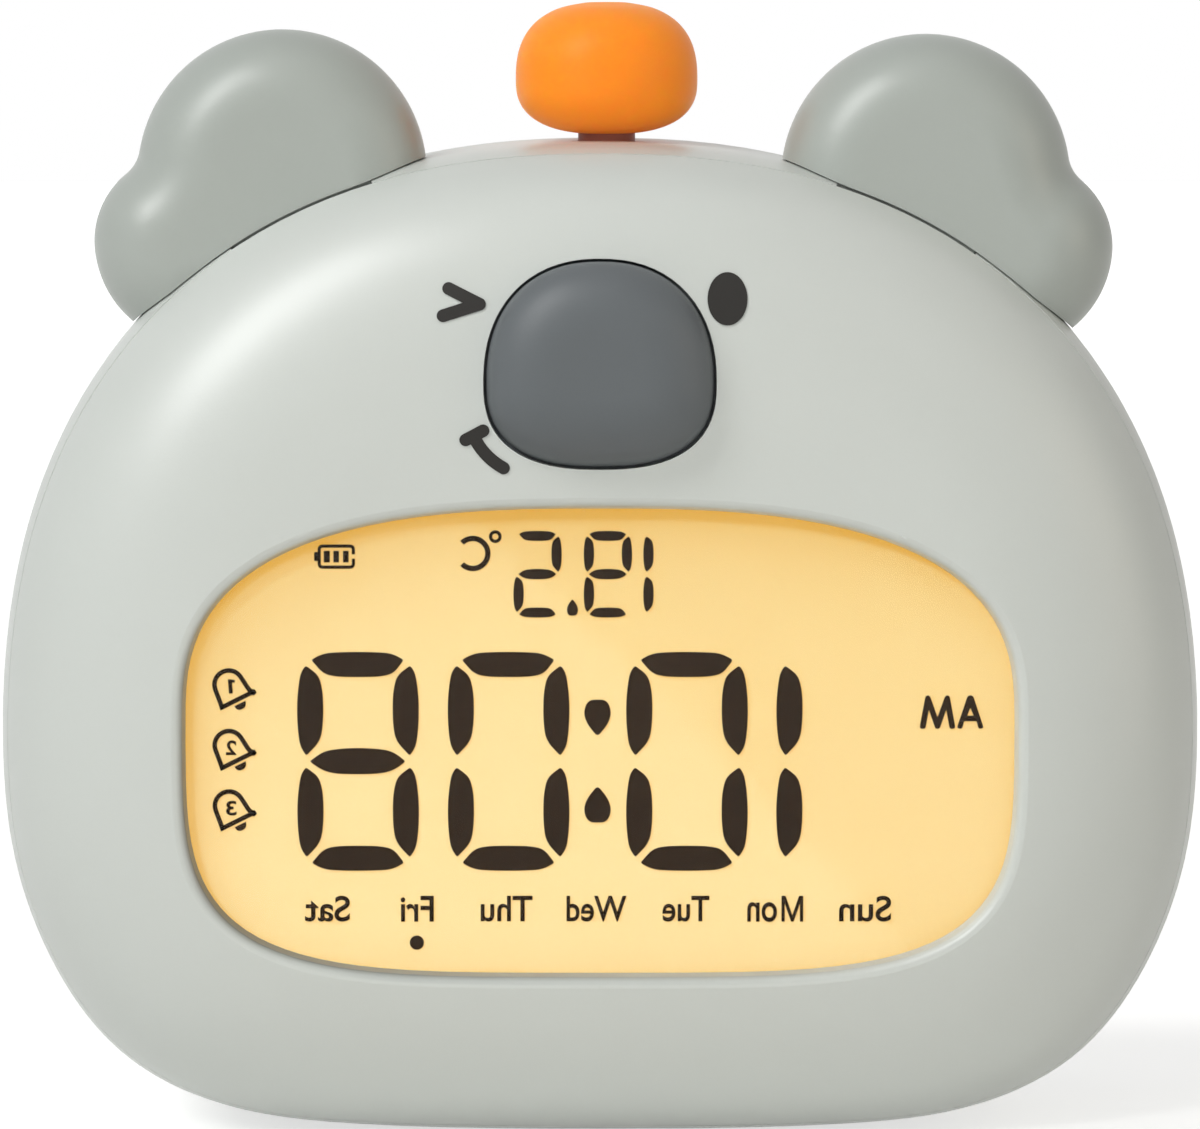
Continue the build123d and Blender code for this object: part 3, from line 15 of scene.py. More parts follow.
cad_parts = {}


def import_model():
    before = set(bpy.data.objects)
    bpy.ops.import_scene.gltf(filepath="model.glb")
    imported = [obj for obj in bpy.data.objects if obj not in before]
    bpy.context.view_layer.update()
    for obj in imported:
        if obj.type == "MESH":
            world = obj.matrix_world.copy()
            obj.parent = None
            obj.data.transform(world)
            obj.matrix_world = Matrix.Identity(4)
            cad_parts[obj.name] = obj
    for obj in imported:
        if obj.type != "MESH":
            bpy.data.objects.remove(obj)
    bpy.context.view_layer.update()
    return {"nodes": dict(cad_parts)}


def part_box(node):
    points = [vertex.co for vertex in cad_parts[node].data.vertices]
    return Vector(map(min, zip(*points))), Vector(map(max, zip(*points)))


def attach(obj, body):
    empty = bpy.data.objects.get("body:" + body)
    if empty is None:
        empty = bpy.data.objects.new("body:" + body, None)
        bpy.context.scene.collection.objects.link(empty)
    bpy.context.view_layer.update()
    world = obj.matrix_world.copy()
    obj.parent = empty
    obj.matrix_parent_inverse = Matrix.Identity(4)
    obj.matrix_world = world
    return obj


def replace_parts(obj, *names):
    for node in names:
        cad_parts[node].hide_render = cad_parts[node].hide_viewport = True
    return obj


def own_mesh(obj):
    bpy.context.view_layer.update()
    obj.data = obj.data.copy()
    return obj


log = logging.getLogger("alarm clock")

MM = 0.001
Colour = tuple[float, float, float]
Corner = tuple[float, float, float]
Box = tuple[float, float, float, float]
Socket = bpy.types.NodeSocket
CLOCK = "clock"
MIX_SHARE, MIX_FIRST, MIX_SECOND, MIX_RESULT = 0, 6, 7, 2    # a Mix node's sockets for colours
CORNER_STEPS = 5                 # of a sign's rounded corner
ROUND_STEPS = 48                 # of a sign's disc or ring
INK_DEPTH = 0.15                 # millimetres
UPRIGHT = math.pi / 2            # the turn from lying flat to standing up
MIRROR_MERGE = 1e-4              # millimetres between two points on a mirror line that are one
CUT_SNAP = 1e-6                  # millimetres from a cut to a point that is on it
LETTER_MERGE = 1e-5              # between two points of a letter that are one, in type sizes
WIRE_MERGE = 1e-6                # metres between two points of a spring that are one


# ---------------------------------------------------------------- scene building
def put_up(name: str, data: bpy.types.ID) -> bpy.types.Object:
    """Put a mesh, text, lamp or camera into the scene as an object.

    Args:
        name: The object's name.
        data: What it shows.

    Returns:
        The object.
    """
    made = bpy.data.objects.new(name, data)
    bpy.context.scene.collection.objects.link(made)
    return made


def aim_at(thing: bpy.types.Object, place: Corner | Vector, target: Corner, roll: float = 0.0) -> None:
    """Stand a lamp or camera at a place, turned towards a target.

    Args:
        thing: The lamp or camera.
        place: Where it stands, in metres.
        target: What it is turned to, in metres.
        roll: Its turn about its own line of sight, in degrees.
    """
    thing.location = place
    thing.rotation_mode = "QUATERNION"
    facing = (Vector(target) - Vector(place)).to_track_quat("-Z", "Y")
    thing.rotation_quaternion = facing @ Quaternion((0.0, 0.0, 1.0), math.radians(roll))


# ---------------------------------------------------------------- shader building
class Graph:
    """A node tree that is being wired up."""

    def __init__(self, tree: bpy.types.NodeTree) -> None:
        """Empty the tree of a material, world or group, and start from there."""
        self.tree = tree
        tree.nodes.clear()

    def node(self, kind: str, settings: dict | None = None, **inputs: object) -> bpy.types.Node:
        """Add a node.

        Args:
            kind: The node's type name.
            settings: Its own properties.
            inputs: Socket values by name, with underscores for spaces; a socket is linked.

        Returns:
            The new node.
        """
        made = self.tree.nodes.new(kind)
        for key, value in (settings or {}).items():
            setattr(made, key, value)
        for key, value in inputs.items():
            self.feed(made.inputs[key.replace("_", " ")], value)
        return made

    def feed(self, socket: Socket, value: object) -> None:
        """Link a socket into an input, or set the input's own value.

        Args:
            socket: The input.
            value: A socket or a plain value.
        """
        if isinstance(value, Socket):
            self.tree.links.new(value, socket)
        else:
            socket.default_value = value

    def sum_up(self, operation: str, *values: object) -> Socket:
        """Do a sum with a Math node.

        Args:
            operation: The node's operation.
            values: Numbers or sockets.

        Returns:
            The result.
        """
        made = self.tree.nodes.new("ShaderNodeMath")
        made.operation = operation
        for socket, value in zip(made.inputs, values):
            self.feed(socket, value)
        return made.outputs[0]

    def blend(self, share: object, first: Colour | Socket, second: Colour | Socket) -> Socket:
        """A colour between two colours.

        Args:
            share: How much of the second, a number or a socket.
            first: The colour at a share of 0.
            second: The colour at a share of 1.

        Returns:
            The colour socket.
        """
        made = self.tree.nodes.new("ShaderNodeMix")
        made.data_type = "RGBA"
        self.feed(made.inputs[MIX_SHARE], share)
        for index, colour in ((MIX_FIRST, first), (MIX_SECOND, second)):
            self.feed(made.inputs[index], colour if isinstance(colour, Socket) else (*colour, 1.0))
        return made.outputs[MIX_RESULT]

    def overlay(self, shader: bpy.types.Node, label: str, share: Socket, colour: Colour) -> None:
        """Blend a share of a colour over what already feeds the labelled input of a shader."""
        below = shader.inputs[label].links[0].from_socket
        self.feed(shader.inputs[label], self.blend(share, below, colour))

    def place(self) -> Socket:
        """The shaded point's place on the object."""
        return self.node("ShaderNodeTexCoord").outputs["Object"]

    def axes(self) -> Sequence[Socket]:
        """The shaded point's place, as three numbers."""
        return self.node("ShaderNodeSeparateXYZ", Vector=self.place()).outputs

    def ranged(self, value: object, low: float | Socket, high: float | Socket,
               to_low: float | Socket = 0.0, to_high: float | Socket = 1.0) -> Socket:
        """Carry a value's range over to another range, and hold it there.

        Args:
            value: The value.
            low: The start of its range.
            high: The end of its range.
            to_low: What the start becomes.
            to_high: What the end becomes.

        Returns:
            The new value.
        """
        made = self.tree.nodes.new("ShaderNodeMapRange")
        for socket, item in zip(made.inputs, (value, low, high, to_low, to_high)):
            self.feed(socket, item)
        return made.outputs[0]

    def effect(self, shared: Effect, **values: object) -> bpy.types.NodeOutputs:
        """Place a shared effect here.

        Args:
            shared: The effect.
            values: The effect's own inputs by name, with underscores for spaces.

        Returns:
            Its results.
        """
        return self.node("ShaderNodeGroup", {"node_tree": shared.group()}, **values).outputs


def fresh_material(title: str) -> tuple[bpy.types.Material, Graph]:
    """Start a material.

    Args:
        title: Its name.

    Returns:
        The material, and the graph to wire it with.
    """
    made = bpy.data.materials.new(title)
    made.use_nodes = True
    return made, Graph(made.node_tree)


class Effect:
    """A shader group that is built once and placed in each material with the material's own values."""

    title: str
    controls: dict[str, float]
    results: tuple[str, ...]

    def group(self) -> bpy.types.NodeTree:
        """Make the group once, and then share it.

        Returns:
            The group's tree.
        """
        found = bpy.data.node_groups.get(self.title)
        if found:
            return found
        tree = bpy.data.node_groups.new(self.title, "ShaderNodeTree")
        for label, start in self.controls.items():
            socket = tree.interface.new_socket(label, in_out="INPUT", socket_type="NodeSocketFloat")
            socket.default_value = start
        for label in self.results:
            tree.interface.new_socket(label, in_out="OUTPUT", socket_type="NodeSocketFloat")
        graph = Graph(tree)
        given = graph.node("NodeGroupInput").outputs
        out = graph.node("NodeGroupOutput")
        for label, value in self.wire(graph, given).items():
            graph.feed(out.inputs[label], value)
        return tree

    def wire(self, graph: Graph, given: bpy.types.NodeOutputs) -> dict[str, Socket]:
        """Work out the effect.

        Args:
            graph: The group's tree.
            given: The group's inputs.

        Returns:
            Its results by name.
        """
        raise NotImplementedError


class MouldGrain(Effect):
    """The grain that a polished or etched mould leaves on a plastic part."""

    title = "mould grain"
    controls = {"Grain": 3000.0, "Flow": 30.0, "Gloss": 0.4, "Spread": 0.05}
    results = ("Tone", "Roughness", "Height")
    grain_noise = {"Detail": 2.0, "Roughness": 0.6}
    flow_noise = {"Detail": 3.0, "Roughness": 0.5}
    flow_range = (0.3, 0.7)          # of the noise, which becomes the whole range of the tone
    middle = 0.5                     # what a noise swings round
    speck = 0.5                      # how much of the grain shows in the tone

    def wire(self, graph: Graph, given: bpy.types.NodeOutputs) -> dict[str, Socket]:
        """Mix fine grain with the slow flow of the plastic.

        Args:
            graph: The group's tree.
            given: How fine the grain and the flow are, and the gloss and how far it spreads.

        Returns:
            The tone, the roughness and the height.
        """
        place = graph.place()
        grain = graph.node("ShaderNodeTexNoise", Vector=place, Scale=given["Grain"], **self.grain_noise)
        flow = graph.node("ShaderNodeTexNoise", Vector=place, Scale=given["Flow"], **self.flow_noise)
        tone = graph.ranged(flow.outputs["Fac"], *self.flow_range)
        swung = graph.sum_up("SUBTRACT", grain.outputs["Fac"], self.middle)
        speck = graph.sum_up("MULTIPLY", swung, self.speck)
        swing = graph.sum_up("ADD", graph.sum_up("SUBTRACT", tone, self.middle), speck)
        gloss = graph.sum_up("MULTIPLY_ADD", swing, given["Spread"], given["Gloss"])
        shown = graph.sum_up("ADD", tone, speck)
        return {"Tone": shown, "Roughness": gloss, "Height": grain.outputs["Fac"]}


class UnevenLight(Effect):
    """The slow dim and bright patches of a lit thing."""

    title = "uneven light"
    controls = {"Patches": 22.0, "Dimmest": 0.35, "Brightest": 0.65}
    results = ("Share",)

    def wire(self, graph: Graph, given: bpy.types.NodeOutputs) -> dict[str, Socket]:
        """Lay the patches.

        Args:
            graph: The group's tree.
            given: The patches in a metre, and the part of the noise that they take.

        Returns:
            The share of the dimmed light.
        """
        noise = graph.node(
            "ShaderNodeTexNoise", Vector=graph.place(), Scale=given["Patches"], Detail=1.0)
        return {"Share": graph.ranged(noise.outputs["Fac"], given["Dimmest"], given["Brightest"])}


@dataclass(frozen=True)
class Pattern(Effect):
    """A texture that finishes lay over their grain."""

    title: str
    texture: str
    scale: float
    inputs: dict[str, float] = field(default_factory=dict)
    output: str = "Fac"
    turn: Corner = (0.0, 0.0, 0.0)
    stretch: Corner = (1.0, 1.0, 1.0)

    controls = {"Scale": 1000.0}
    results = ("Pattern",)

    def wire(self, graph: Graph, given: bpy.types.NodeOutputs) -> dict[str, Socket]:
        """Lay the texture on the object.

        Args:
            graph: The group's tree.
            given: How fine the pattern is.

        Returns:
            How much of the pattern there is at the shaded point.
        """
        place = graph.node(
            "ShaderNodeMapping", Vector=graph.place(), Rotation=self.turn, Scale=self.stretch)
        laid = graph.node(
            self.texture, Vector=place.outputs[0], Scale=given["Scale"], **self.inputs)
        return {"Pattern": laid.outputs[self.output]}


class Weave(Enum):
    """What a finish adds to its grain."""

    PLAIN = None
    BRUSHED = Pattern(
        "brush lines", "ShaderNodeTexNoise", 700.0, {"Detail": 3.0}, stretch=(1.0, 1.0, 18.0))
    TRACES = Pattern("copper tracks", "ShaderNodeTexBrick", 420.0, {"Mortar_Size": 0.035},
                     turn=(UPRIGHT, 0.0, 0.0))
    FIBRES = Pattern(
        "paper fibres", "ShaderNodeTexNoise", 900.0, {"Detail": 6.0, "Distortion": 2.5})
    CELLS = Pattern("foam cells", "ShaderNodeTexVoronoi", 1900.0, output="Distance")
    RIBS = Pattern("close ribs", "ShaderNodeTexWave", 480.0)


TRACE_BRIGHT = 1.7               # how much brighter a track is than the board
TRACE_SHARE = 0.5                # how much of the board's own grain shows over its tracks
SOFT_REACH = 0.006               # metres that light wanders inside a soft material


@dataclass(frozen=True)
class Finish:
    """A surface finish: two close tones broken up by grain, with the real stuff's gloss and relief."""

    title: str
    tone: Colour
    shade: Colour
    gloss: float = 0.45
    spread: float = 0.08
    grain: float = 2600.0
    flow: float = 28.0
    relief: float = 0.02
    metal: float = 0.0
    specular: float = 0.5
    softness: float = 0.0            # how much light wanders inside it, as in silicone
    soft_colour: Colour = (1.0, 0.22, 0.04)
    weave: Weave = Weave.PLAIN

    def material(self) -> bpy.types.Material:
        """Make the finish's material.

        Returns:
            The material.
        """
        made, graph = fresh_material(self.title)
        graph.node("ShaderNodeOutputMaterial", Surface=self.surface(graph))
        return made

    def surface(self, graph: Graph) -> Socket:
        """What the material shows."""
        return self.shader(graph).outputs["BSDF"]

    def grained(self, graph: Graph) -> bpy.types.NodeOutputs:
        """The tone, roughness and height that the mould's grain gives the finish."""
        return graph.effect(
            MouldGrain(), Grain=self.grain, Flow=self.flow, Gloss=self.gloss, Spread=self.spread)

    def shader(self, graph: Graph) -> bpy.types.Node:
        """The Principled node of the finish, wired to its grain.

        Args:
            graph: The material's tree.

        Returns:
            The Principled node.
        """
        grain = self.grained(graph)
        colour, height = graph.blend(grain["Tone"], self.tone, self.shade), grain["Height"]
        if self.weave is not Weave.PLAIN:
            colour, height = self.woven(graph, colour)
        bump = graph.node("ShaderNodeBump", Height=height, Distance=self.relief * MM, Strength=1.0)
        return graph.node(
            "ShaderNodeBsdfPrincipled",
            Base_Color=colour, Roughness=grain["Roughness"], Metallic=self.metal,
            Specular_IOR_Level=self.specular, Normal=bump.outputs["Normal"],
            Subsurface_Weight=self.softness, Subsurface_Radius=self.soft_colour,
            Subsurface_Scale=SOFT_REACH,
        )

    def woven(self, graph: Graph, colour: Socket) -> tuple[Socket, Socket]:
        """Lay the finish's own pattern over its grain.

        Args:
            graph: The material's tree.
            colour: The grain's colour.

        Returns:
            The patterned colour and height.
        """
        pattern = self.weave.value
        drawn = graph.effect(pattern, Scale=pattern.scale)["Pattern"]
        if self.weave is not Weave.TRACES:
            return graph.blend(drawn, self.shade, self.tone), drawn
        mark = graph.sum_up("SUBTRACT", 1.0, drawn)
        bright = graph.blend(mark, tuple(TRACE_BRIGHT * c for c in self.tone), self.shade)
        return graph.blend(TRACE_SHARE, bright, colour), mark


@dataclass(frozen=True)
class WindowOutline(Effect):
    """The rounded outline of the display window in millimetres, fuller below its widest line."""

    half: float = 43.9
    rise: float = 22.9
    drop: float = 27.3
    middle_x: float = 0.0
    widest_z: float = 45.0
    rise_power: float = 2.71
    drop_power: float = 4.07
    edge: float = 1.03               # the outline's own measure is 1 on it; by here it has faded out

    title = "window outline"
    controls = {"Half": 0.044, "Rise": 0.023, "Drop": 0.027, "Middle": 0.0, "Widest": 0.045,
                "Rise power": 2.7, "Drop power": 4.1, "Edge": 1.03}    # the first five in metres
    results = ("Inside",)

    def mask(self, graph: Graph) -> Socket:
        """1 where the shaded point is inside the outline and 0 where it is outside."""
        return graph.effect(
            self, Half=self.half * MM, Rise=self.rise * MM, Drop=self.drop * MM,
            Middle=self.middle_x * MM, Widest=self.widest_z * MM,
            Rise_power=self.rise_power, Drop_power=self.drop_power, Edge=self.edge,
        )["Inside"]

    def wire(self, graph: Graph, given: bpy.types.NodeOutputs) -> dict[str, Socket]:
        """Measure the shaded point against the outline.

        Args:
            graph: The group's tree.
            given: The outline's reaches and places in metres, its powers and its fading.

        Returns:
            How far inside the outline the point is.
        """
        across, _, up = graph.axes()
        lift = graph.sum_up("SUBTRACT", up, given["Widest"])
        upper = graph.sum_up("GREATER_THAN", lift, 0.0)
        reach = graph.ranged(upper, 0.0, 1.0, given["Drop"], given["Rise"])
        power = graph.ranged(upper, 0.0, 1.0, given["Drop power"], given["Rise power"])
        aside = graph.sum_up("ABSOLUTE", graph.sum_up("SUBTRACT", across, given["Middle"]))
        wide = graph.sum_up("DIVIDE", aside, given["Half"])
        tall = graph.sum_up("DIVIDE", graph.sum_up("ABSOLUTE", lift), reach)
        parts = [graph.sum_up("POWER", part, power) for part in (wide, tall)]
        return {"Inside": graph.ranged(graph.sum_up("ADD", *parts), 1.0, given["Edge"], 1.0, 0.0)}


@dataclass(frozen=True)
class LitFinish(Finish):
    """A finish that also gives light of its own, a little uneven as a lit panel is; on the knob this
    glow is painted light.
    """

    glow: Colour = (1.0, 1.0, 1.0)
    dimmed: Colour = (1.0, 1.0, 1.0)
    power: float = 1.0
    patches: float = 22.0            # dim and bright patches in a metre
    patch_range: tuple[float, float] = (0.35, 0.65)

    def shader(self, graph: Graph) -> bpy.types.Node:
        """Wire the finish's own light into its Principled node.

        Args:
            graph: The material's tree.

        Returns:
            The Principled node.
        """
        made = super().shader(graph)
        low, high = self.patch_range
        uneven = graph.effect(UnevenLight(), Patches=self.patches, Dimmest=low, Brightest=high)
        lit = graph.blend(uneven["Share"], self.glow, self.dimmed)
        graph.feed(made.inputs["Emission Color"], lit)
        made.inputs["Emission Strength"].default_value = self.power
        return made


@dataclass(frozen=True)
class PanelFinish(LitFinish):
    """A lit panel that is dimmer at its top, with a painted shadow of the window's rim along its upper
    edge.
    """

    top_glow: Colour = (0.705, 0.342, 0.014)
    top_reach: tuple[float, float] = (30.0, 56.0)
    painted_rim_shadow: float = 0.61               # how much of its tone the painted rim shadow keeps
    inner: WindowOutline = WindowOutline(42.9, 20.5, 40.0, middle_x=0.5, edge=1.06)
    painted_rim_shadow_foot: tuple[float, float] = (40.0, 54.0)

    def shader(self, graph: Graph) -> bpy.types.Node:
        """Dim the finish's top and paint the rim's shadow along its upper edge.

        Args:
            graph: The material's tree.

        Returns:
            The Principled node.
        """
        made = super().shader(graph)
        _, _, up = graph.axes()
        outside = graph.sum_up("SUBTRACT", 1.0, self.inner.mask(graph))
        risen, raised = (
            graph.ranged(up, low * MM, high * MM) for low, high in (self.painted_rim_shadow_foot, self.top_reach))
        painted_rim_shadow_tone = tuple(self.painted_rim_shadow * c for c in self.tone)
        # painted shadow of the window's rim: outside the inner outline and above its foot, the tone is
        # darkened
        graph.overlay(made, "Base Color", graph.sum_up("MULTIPLY", outside, risen), painted_rim_shadow_tone)
        graph.overlay(made, "Emission Color", raised, self.top_glow)
        return made


@dataclass(frozen=True)
class ClearFinish(Finish):
    """Clear polished plastic that lets the lamps' light through to what is behind it."""

    bending: float = 1.15            # its refractive index, low because it is coated against glare

    def surface(self, graph: Graph) -> Socket:
        """Show glass, which casts no shadow.

        Args:
            graph: The material's tree.

        Returns:
            What the material shows.
        """
        grain = self.grained(graph)
        glass = graph.node(
            "ShaderNodeBsdfPrincipled",
            Base_Color=graph.blend(grain["Tone"], self.tone, self.shade), Roughness=grain["Roughness"],
            IOR=self.bending, Transmission_Weight=1.0,
        )
        mix = graph.node("ShaderNodeMixShader")
        shown = (
            graph.node("ShaderNodeLightPath").outputs["Is Shadow Ray"], glass.outputs["BSDF"],
            graph.node("ShaderNodeBsdfTransparent").outputs["BSDF"],
        )
        for socket, item in zip(mix.inputs, shown):
            graph.feed(socket, item)
        return mix.outputs[0]


@dataclass(frozen=True)
class PaintedRecessShadeFinish(Finish):
    """A finish with painted shade on the display window's wall, most of all at its lower left, where
    the recess lies in shade.
    """

    # deep is the colour of the painted shade on the recess wall; most is the largest share of it,
    # towards the lower left
    deep: Colour = (0.13, 0.155, 0.165)
    window: WindowOutline = WindowOutline()
    wall_front: float = -25.5
    wall_start: float = 0.8          # how far behind the wall's front the full tone is reached
    wall_back: float = -20.0
    most: float = 0.95
    slant: float = 43.0              # the slanted line where across and up add up to this
    corners: tuple[float, float] = (-30.0, 60.0)    # from the line, where the painted shade starts and is full

    def shader(self, graph: Graph) -> bpy.types.Node:
        """Paint shade onto the window's wall.

        Args:
            graph: The material's tree.

        Returns:
            The Principled node.
        """
        made = super().shader(graph)
        across, deep, up = graph.axes()
        window, wall = self.window.mask(graph), self.along_wall(graph, deep)
        leaning = graph.sum_up("SUBTRACT", self.slant * MM, graph.sum_up("ADD", across, up))
        corner = graph.ranged(leaning, self.corners[0] * MM, self.corners[1] * MM, 0.0, self.most)
        share = graph.sum_up("MULTIPLY", graph.sum_up("MULTIPLY", window, wall), corner)
        # painted shade laid over the wall's own colour
        graph.overlay(made, "Base Color", share, self.deep)
        return made

    def along_wall(self, graph: Graph, deep: Socket) -> Socket:
        """1 from behind the rounded rim to the lens, 0 in front and behind."""
        front = graph.ranged(deep, self.wall_front * MM, (self.wall_front + self.wall_start) * MM)
        return graph.sum_up("MULTIPLY", front, graph.sum_up("LESS_THAN", deep, self.wall_back * MM))


FINISHES: dict[str, Finish] = {
    "shell": PaintedRecessShadeFinish(
        "satin grey-white plastic", (0.596, 0.628, 0.596), (0.578, 0.608, 0.576), 0.35, 0.04,
        grain=3200.0, relief=0.006, specular=0.5),
    "ear": Finish("satin mid-grey plastic", (0.382, 0.413, 0.383), (0.366, 0.397, 0.367), 0.37, 0.06,
                  grain=3200.0, relief=0.006, specular=0.5),
    "ink": Finish("printed charcoal ink", (0.022, 0.020, 0.018), (0.018, 0.017, 0.015), 0.46, 0.10,
                  grain=5200.0, relief=0.003, specular=0.25),
    "nose": Finish("matt slate plastic", (0.116, 0.129, 0.137), (0.108, 0.120, 0.127), 0.49, 0.08,
                   grain=3600.0, relief=0.008, specular=0.35),
    # the knob's glow is painted light: the unlit silicone gives off none, and it stands in for light
    # scattered through the knob
    "knob_orange": LitFinish(
        "satin orange silicone", (1.0, 0.305, 0.020), (0.97, 0.285, 0.017), 0.42, 0.08,
        grain=3400.0, relief=0.006, specular=0.12, softness=0.8,
        glow=(1.0, 0.22, 0.035), dimmed=(0.96, 0.20, 0.03), power=0.15),
    "stem": Finish("dark brown-grey plastic", (0.330, 0.125, 0.088), (0.290, 0.110, 0.078), 0.48, 0.08,
                   grain=3000.0, relief=0.008, specular=0.3),
    "key": Finish("soft grey rubber key", (0.300, 0.322, 0.300), (0.275, 0.296, 0.276), 0.58, 0.06,
                  grain=4200.0, relief=0.012, specular=0.35),
    "lens": ClearFinish("coated clear window", (0.99, 0.99, 0.985), (0.985, 0.988, 0.982), 0.012, 0.01,
                        grain=900.0),
    "lcd_ink": Finish("liquid crystal black", (0.011, 0.005, 0.001), (0.009, 0.004, 0.001), 0.60, 0.05,
                      grain=5000.0, relief=0.001, specular=0.05),
    "lcd_glass": PanelFinish(
        "amber lit display", (0.132, 0.172, 0.130), (0.126, 0.165, 0.125), 0.55, 0.04,
        grain=6000.0, relief=0.001, specular=0.05,
        glow=(0.748, 0.386, 0.054), dimmed=(0.735, 0.375, 0.050), power=1.0),
    "light_guide": Finish("milky acrylic", (0.82, 0.80, 0.74), (0.78, 0.76, 0.70), 0.28, 0.05,
                          relief=0.004),
    "led": LitFinish("white lamp chip", (0.80, 0.72, 0.40), (0.74, 0.64, 0.30), 0.35, 0.08,
                     glow=(1.0, 0.86, 0.55), dimmed=(0.95, 0.78, 0.45), power=0.6),
    "contact_rubber": Finish("striped contact rubber", (0.24, 0.24, 0.25), (0.05, 0.05, 0.05), 0.62,
                             weave=Weave.RIBS),
    "circuit_board": Finish("green circuit board", (0.018, 0.115, 0.050), (0.012, 0.080, 0.036), 0.32,
                            relief=0.03, weave=Weave.TRACES),
    "chip": Finish("black epoxy", (0.022, 0.022, 0.024), (0.016, 0.016, 0.018), 0.48, grain=5200.0,
                   relief=0.01),
    "connector": Finish("ivory nylon", (0.72, 0.68, 0.56), (0.66, 0.62, 0.50), 0.42, relief=0.01),
    "spring_steel": Finish("spring wire", (0.62, 0.61, 0.59), (0.48, 0.47, 0.46), 0.26, metal=1.0,
                           relief=0.004, weave=Weave.BRUSHED),
    "screw_steel": Finish("zinc-plated steel", (0.66, 0.66, 0.64), (0.52, 0.53, 0.54), 0.34, metal=1.0,
                          relief=0.006, weave=Weave.BRUSHED),
    "switch_case": Finish("black nylon", (0.030, 0.030, 0.032), (0.022, 0.022, 0.024), 0.46,
                          relief=0.01),
    "plunger": Finish("brown switch button", (0.16, 0.09, 0.05), (0.13, 0.07, 0.04), 0.42,
                      relief=0.008),
    "socket_metal": Finish("stamped nickel shell", (0.68, 0.67, 0.64), (0.55, 0.54, 0.52), 0.28,
                           metal=1.0, relief=0.004, weave=Weave.BRUSHED),
    "speaker_plastic": Finish("black speaker basket", (0.035, 0.035, 0.036), (0.026, 0.026, 0.028),
                              0.52, relief=0.012),
    "speaker_paper": Finish("pressed paper cone", (0.075, 0.070, 0.064), (0.040, 0.037, 0.034), 0.78,
                            relief=0.03, weave=Weave.FIBRES),
    "magnet": Finish("ferrite", (0.085, 0.082, 0.080), (0.060, 0.058, 0.057), 0.60, relief=0.02),
    "cell_wrap": Finish("silver cell wrap", (0.56, 0.57, 0.58), (0.47, 0.48, 0.50), 0.30, metal=0.7,
                        relief=0.02, weave=Weave.BRUSHED),
    "foam_tape": Finish("grey foam tape", (0.20, 0.20, 0.20), (0.10, 0.10, 0.10), 0.85, relief=0.05,
                        weave=Weave.CELLS),
    "lead_sleeve": Finish("red lead sleeve", (0.52, 0.030, 0.022), (0.44, 0.024, 0.018), 0.40,
                          relief=0.004),
    "ribbon_plastic": Finish("grey ribbon cable", (0.44, 0.45, 0.46), (0.30, 0.31, 0.32), 0.44,
                             relief=0.04, weave=Weave.RIBS),
    "foot_rubber": Finish("pale grey foot rubber", (0.42, 0.43, 0.41), (0.38, 0.39, 0.37), 0.72,
                          grain=1800.0, relief=0.03, specular=0.3),
}


class Paintbox:
    """Makes each finish's material once and hands it out by its slot in the record."""

    def __init__(self, finishes: dict[str, Finish]) -> None:
        """Keep the finishes, unmade so far."""
        self.finishes = finishes
        self.made: dict[str, bpy.types.Material] = {}

    def material(self, slot: str) -> bpy.types.Material:
        """The material of a slot."""
        if slot not in self.made:
            self.made[slot] = self.finishes[slot].material()
        return self.made[slot]

    def dress(self, node: bpy.types.Object) -> str:
        """Give a part from the CAD model the finish of its own slot.

        Args:
            node: The part, still with the plain material that carries its slot's name.

        Returns:
            The slot's name.
        """
        slot = node.material_slots[0].material.name
        node.data.materials[0] = self.material(slot)
        return slot


# ---------------------------------------------------------------- flat signs on the display
def pour(source: bmesh.types.BMesh, target: bmesh.types.BMesh) -> None:
    """Empty one mesh in the making into another.

    Args:
        source: The mesh that is emptied and freed.
        target: The mesh that takes it in.
    """
    carrier = bpy.data.meshes.new("carrier")
    source.to_mesh(carrier)
    source.free()
    target.from_mesh(carrier)
    bpy.data.meshes.remove(carrier)


def place_on_face(x: float, z: float, turn: float = 0.0) -> Matrix:
    """The move from a sign's middle to its spot on the display, in millimetres, turned in degrees."""
    return Matrix.Translation((x, 0.0, z)) @ Matrix.Rotation(math.radians(-turn), 4, "Y")


@dataclass
class InkLayer:
    """The thin layer of dark ink on the front of the display glass."""

    paint: Paintbox
    front: float                     # millimetres along Y
    depth: float = INK_DEPTH
    slot: str = "lcd_ink"


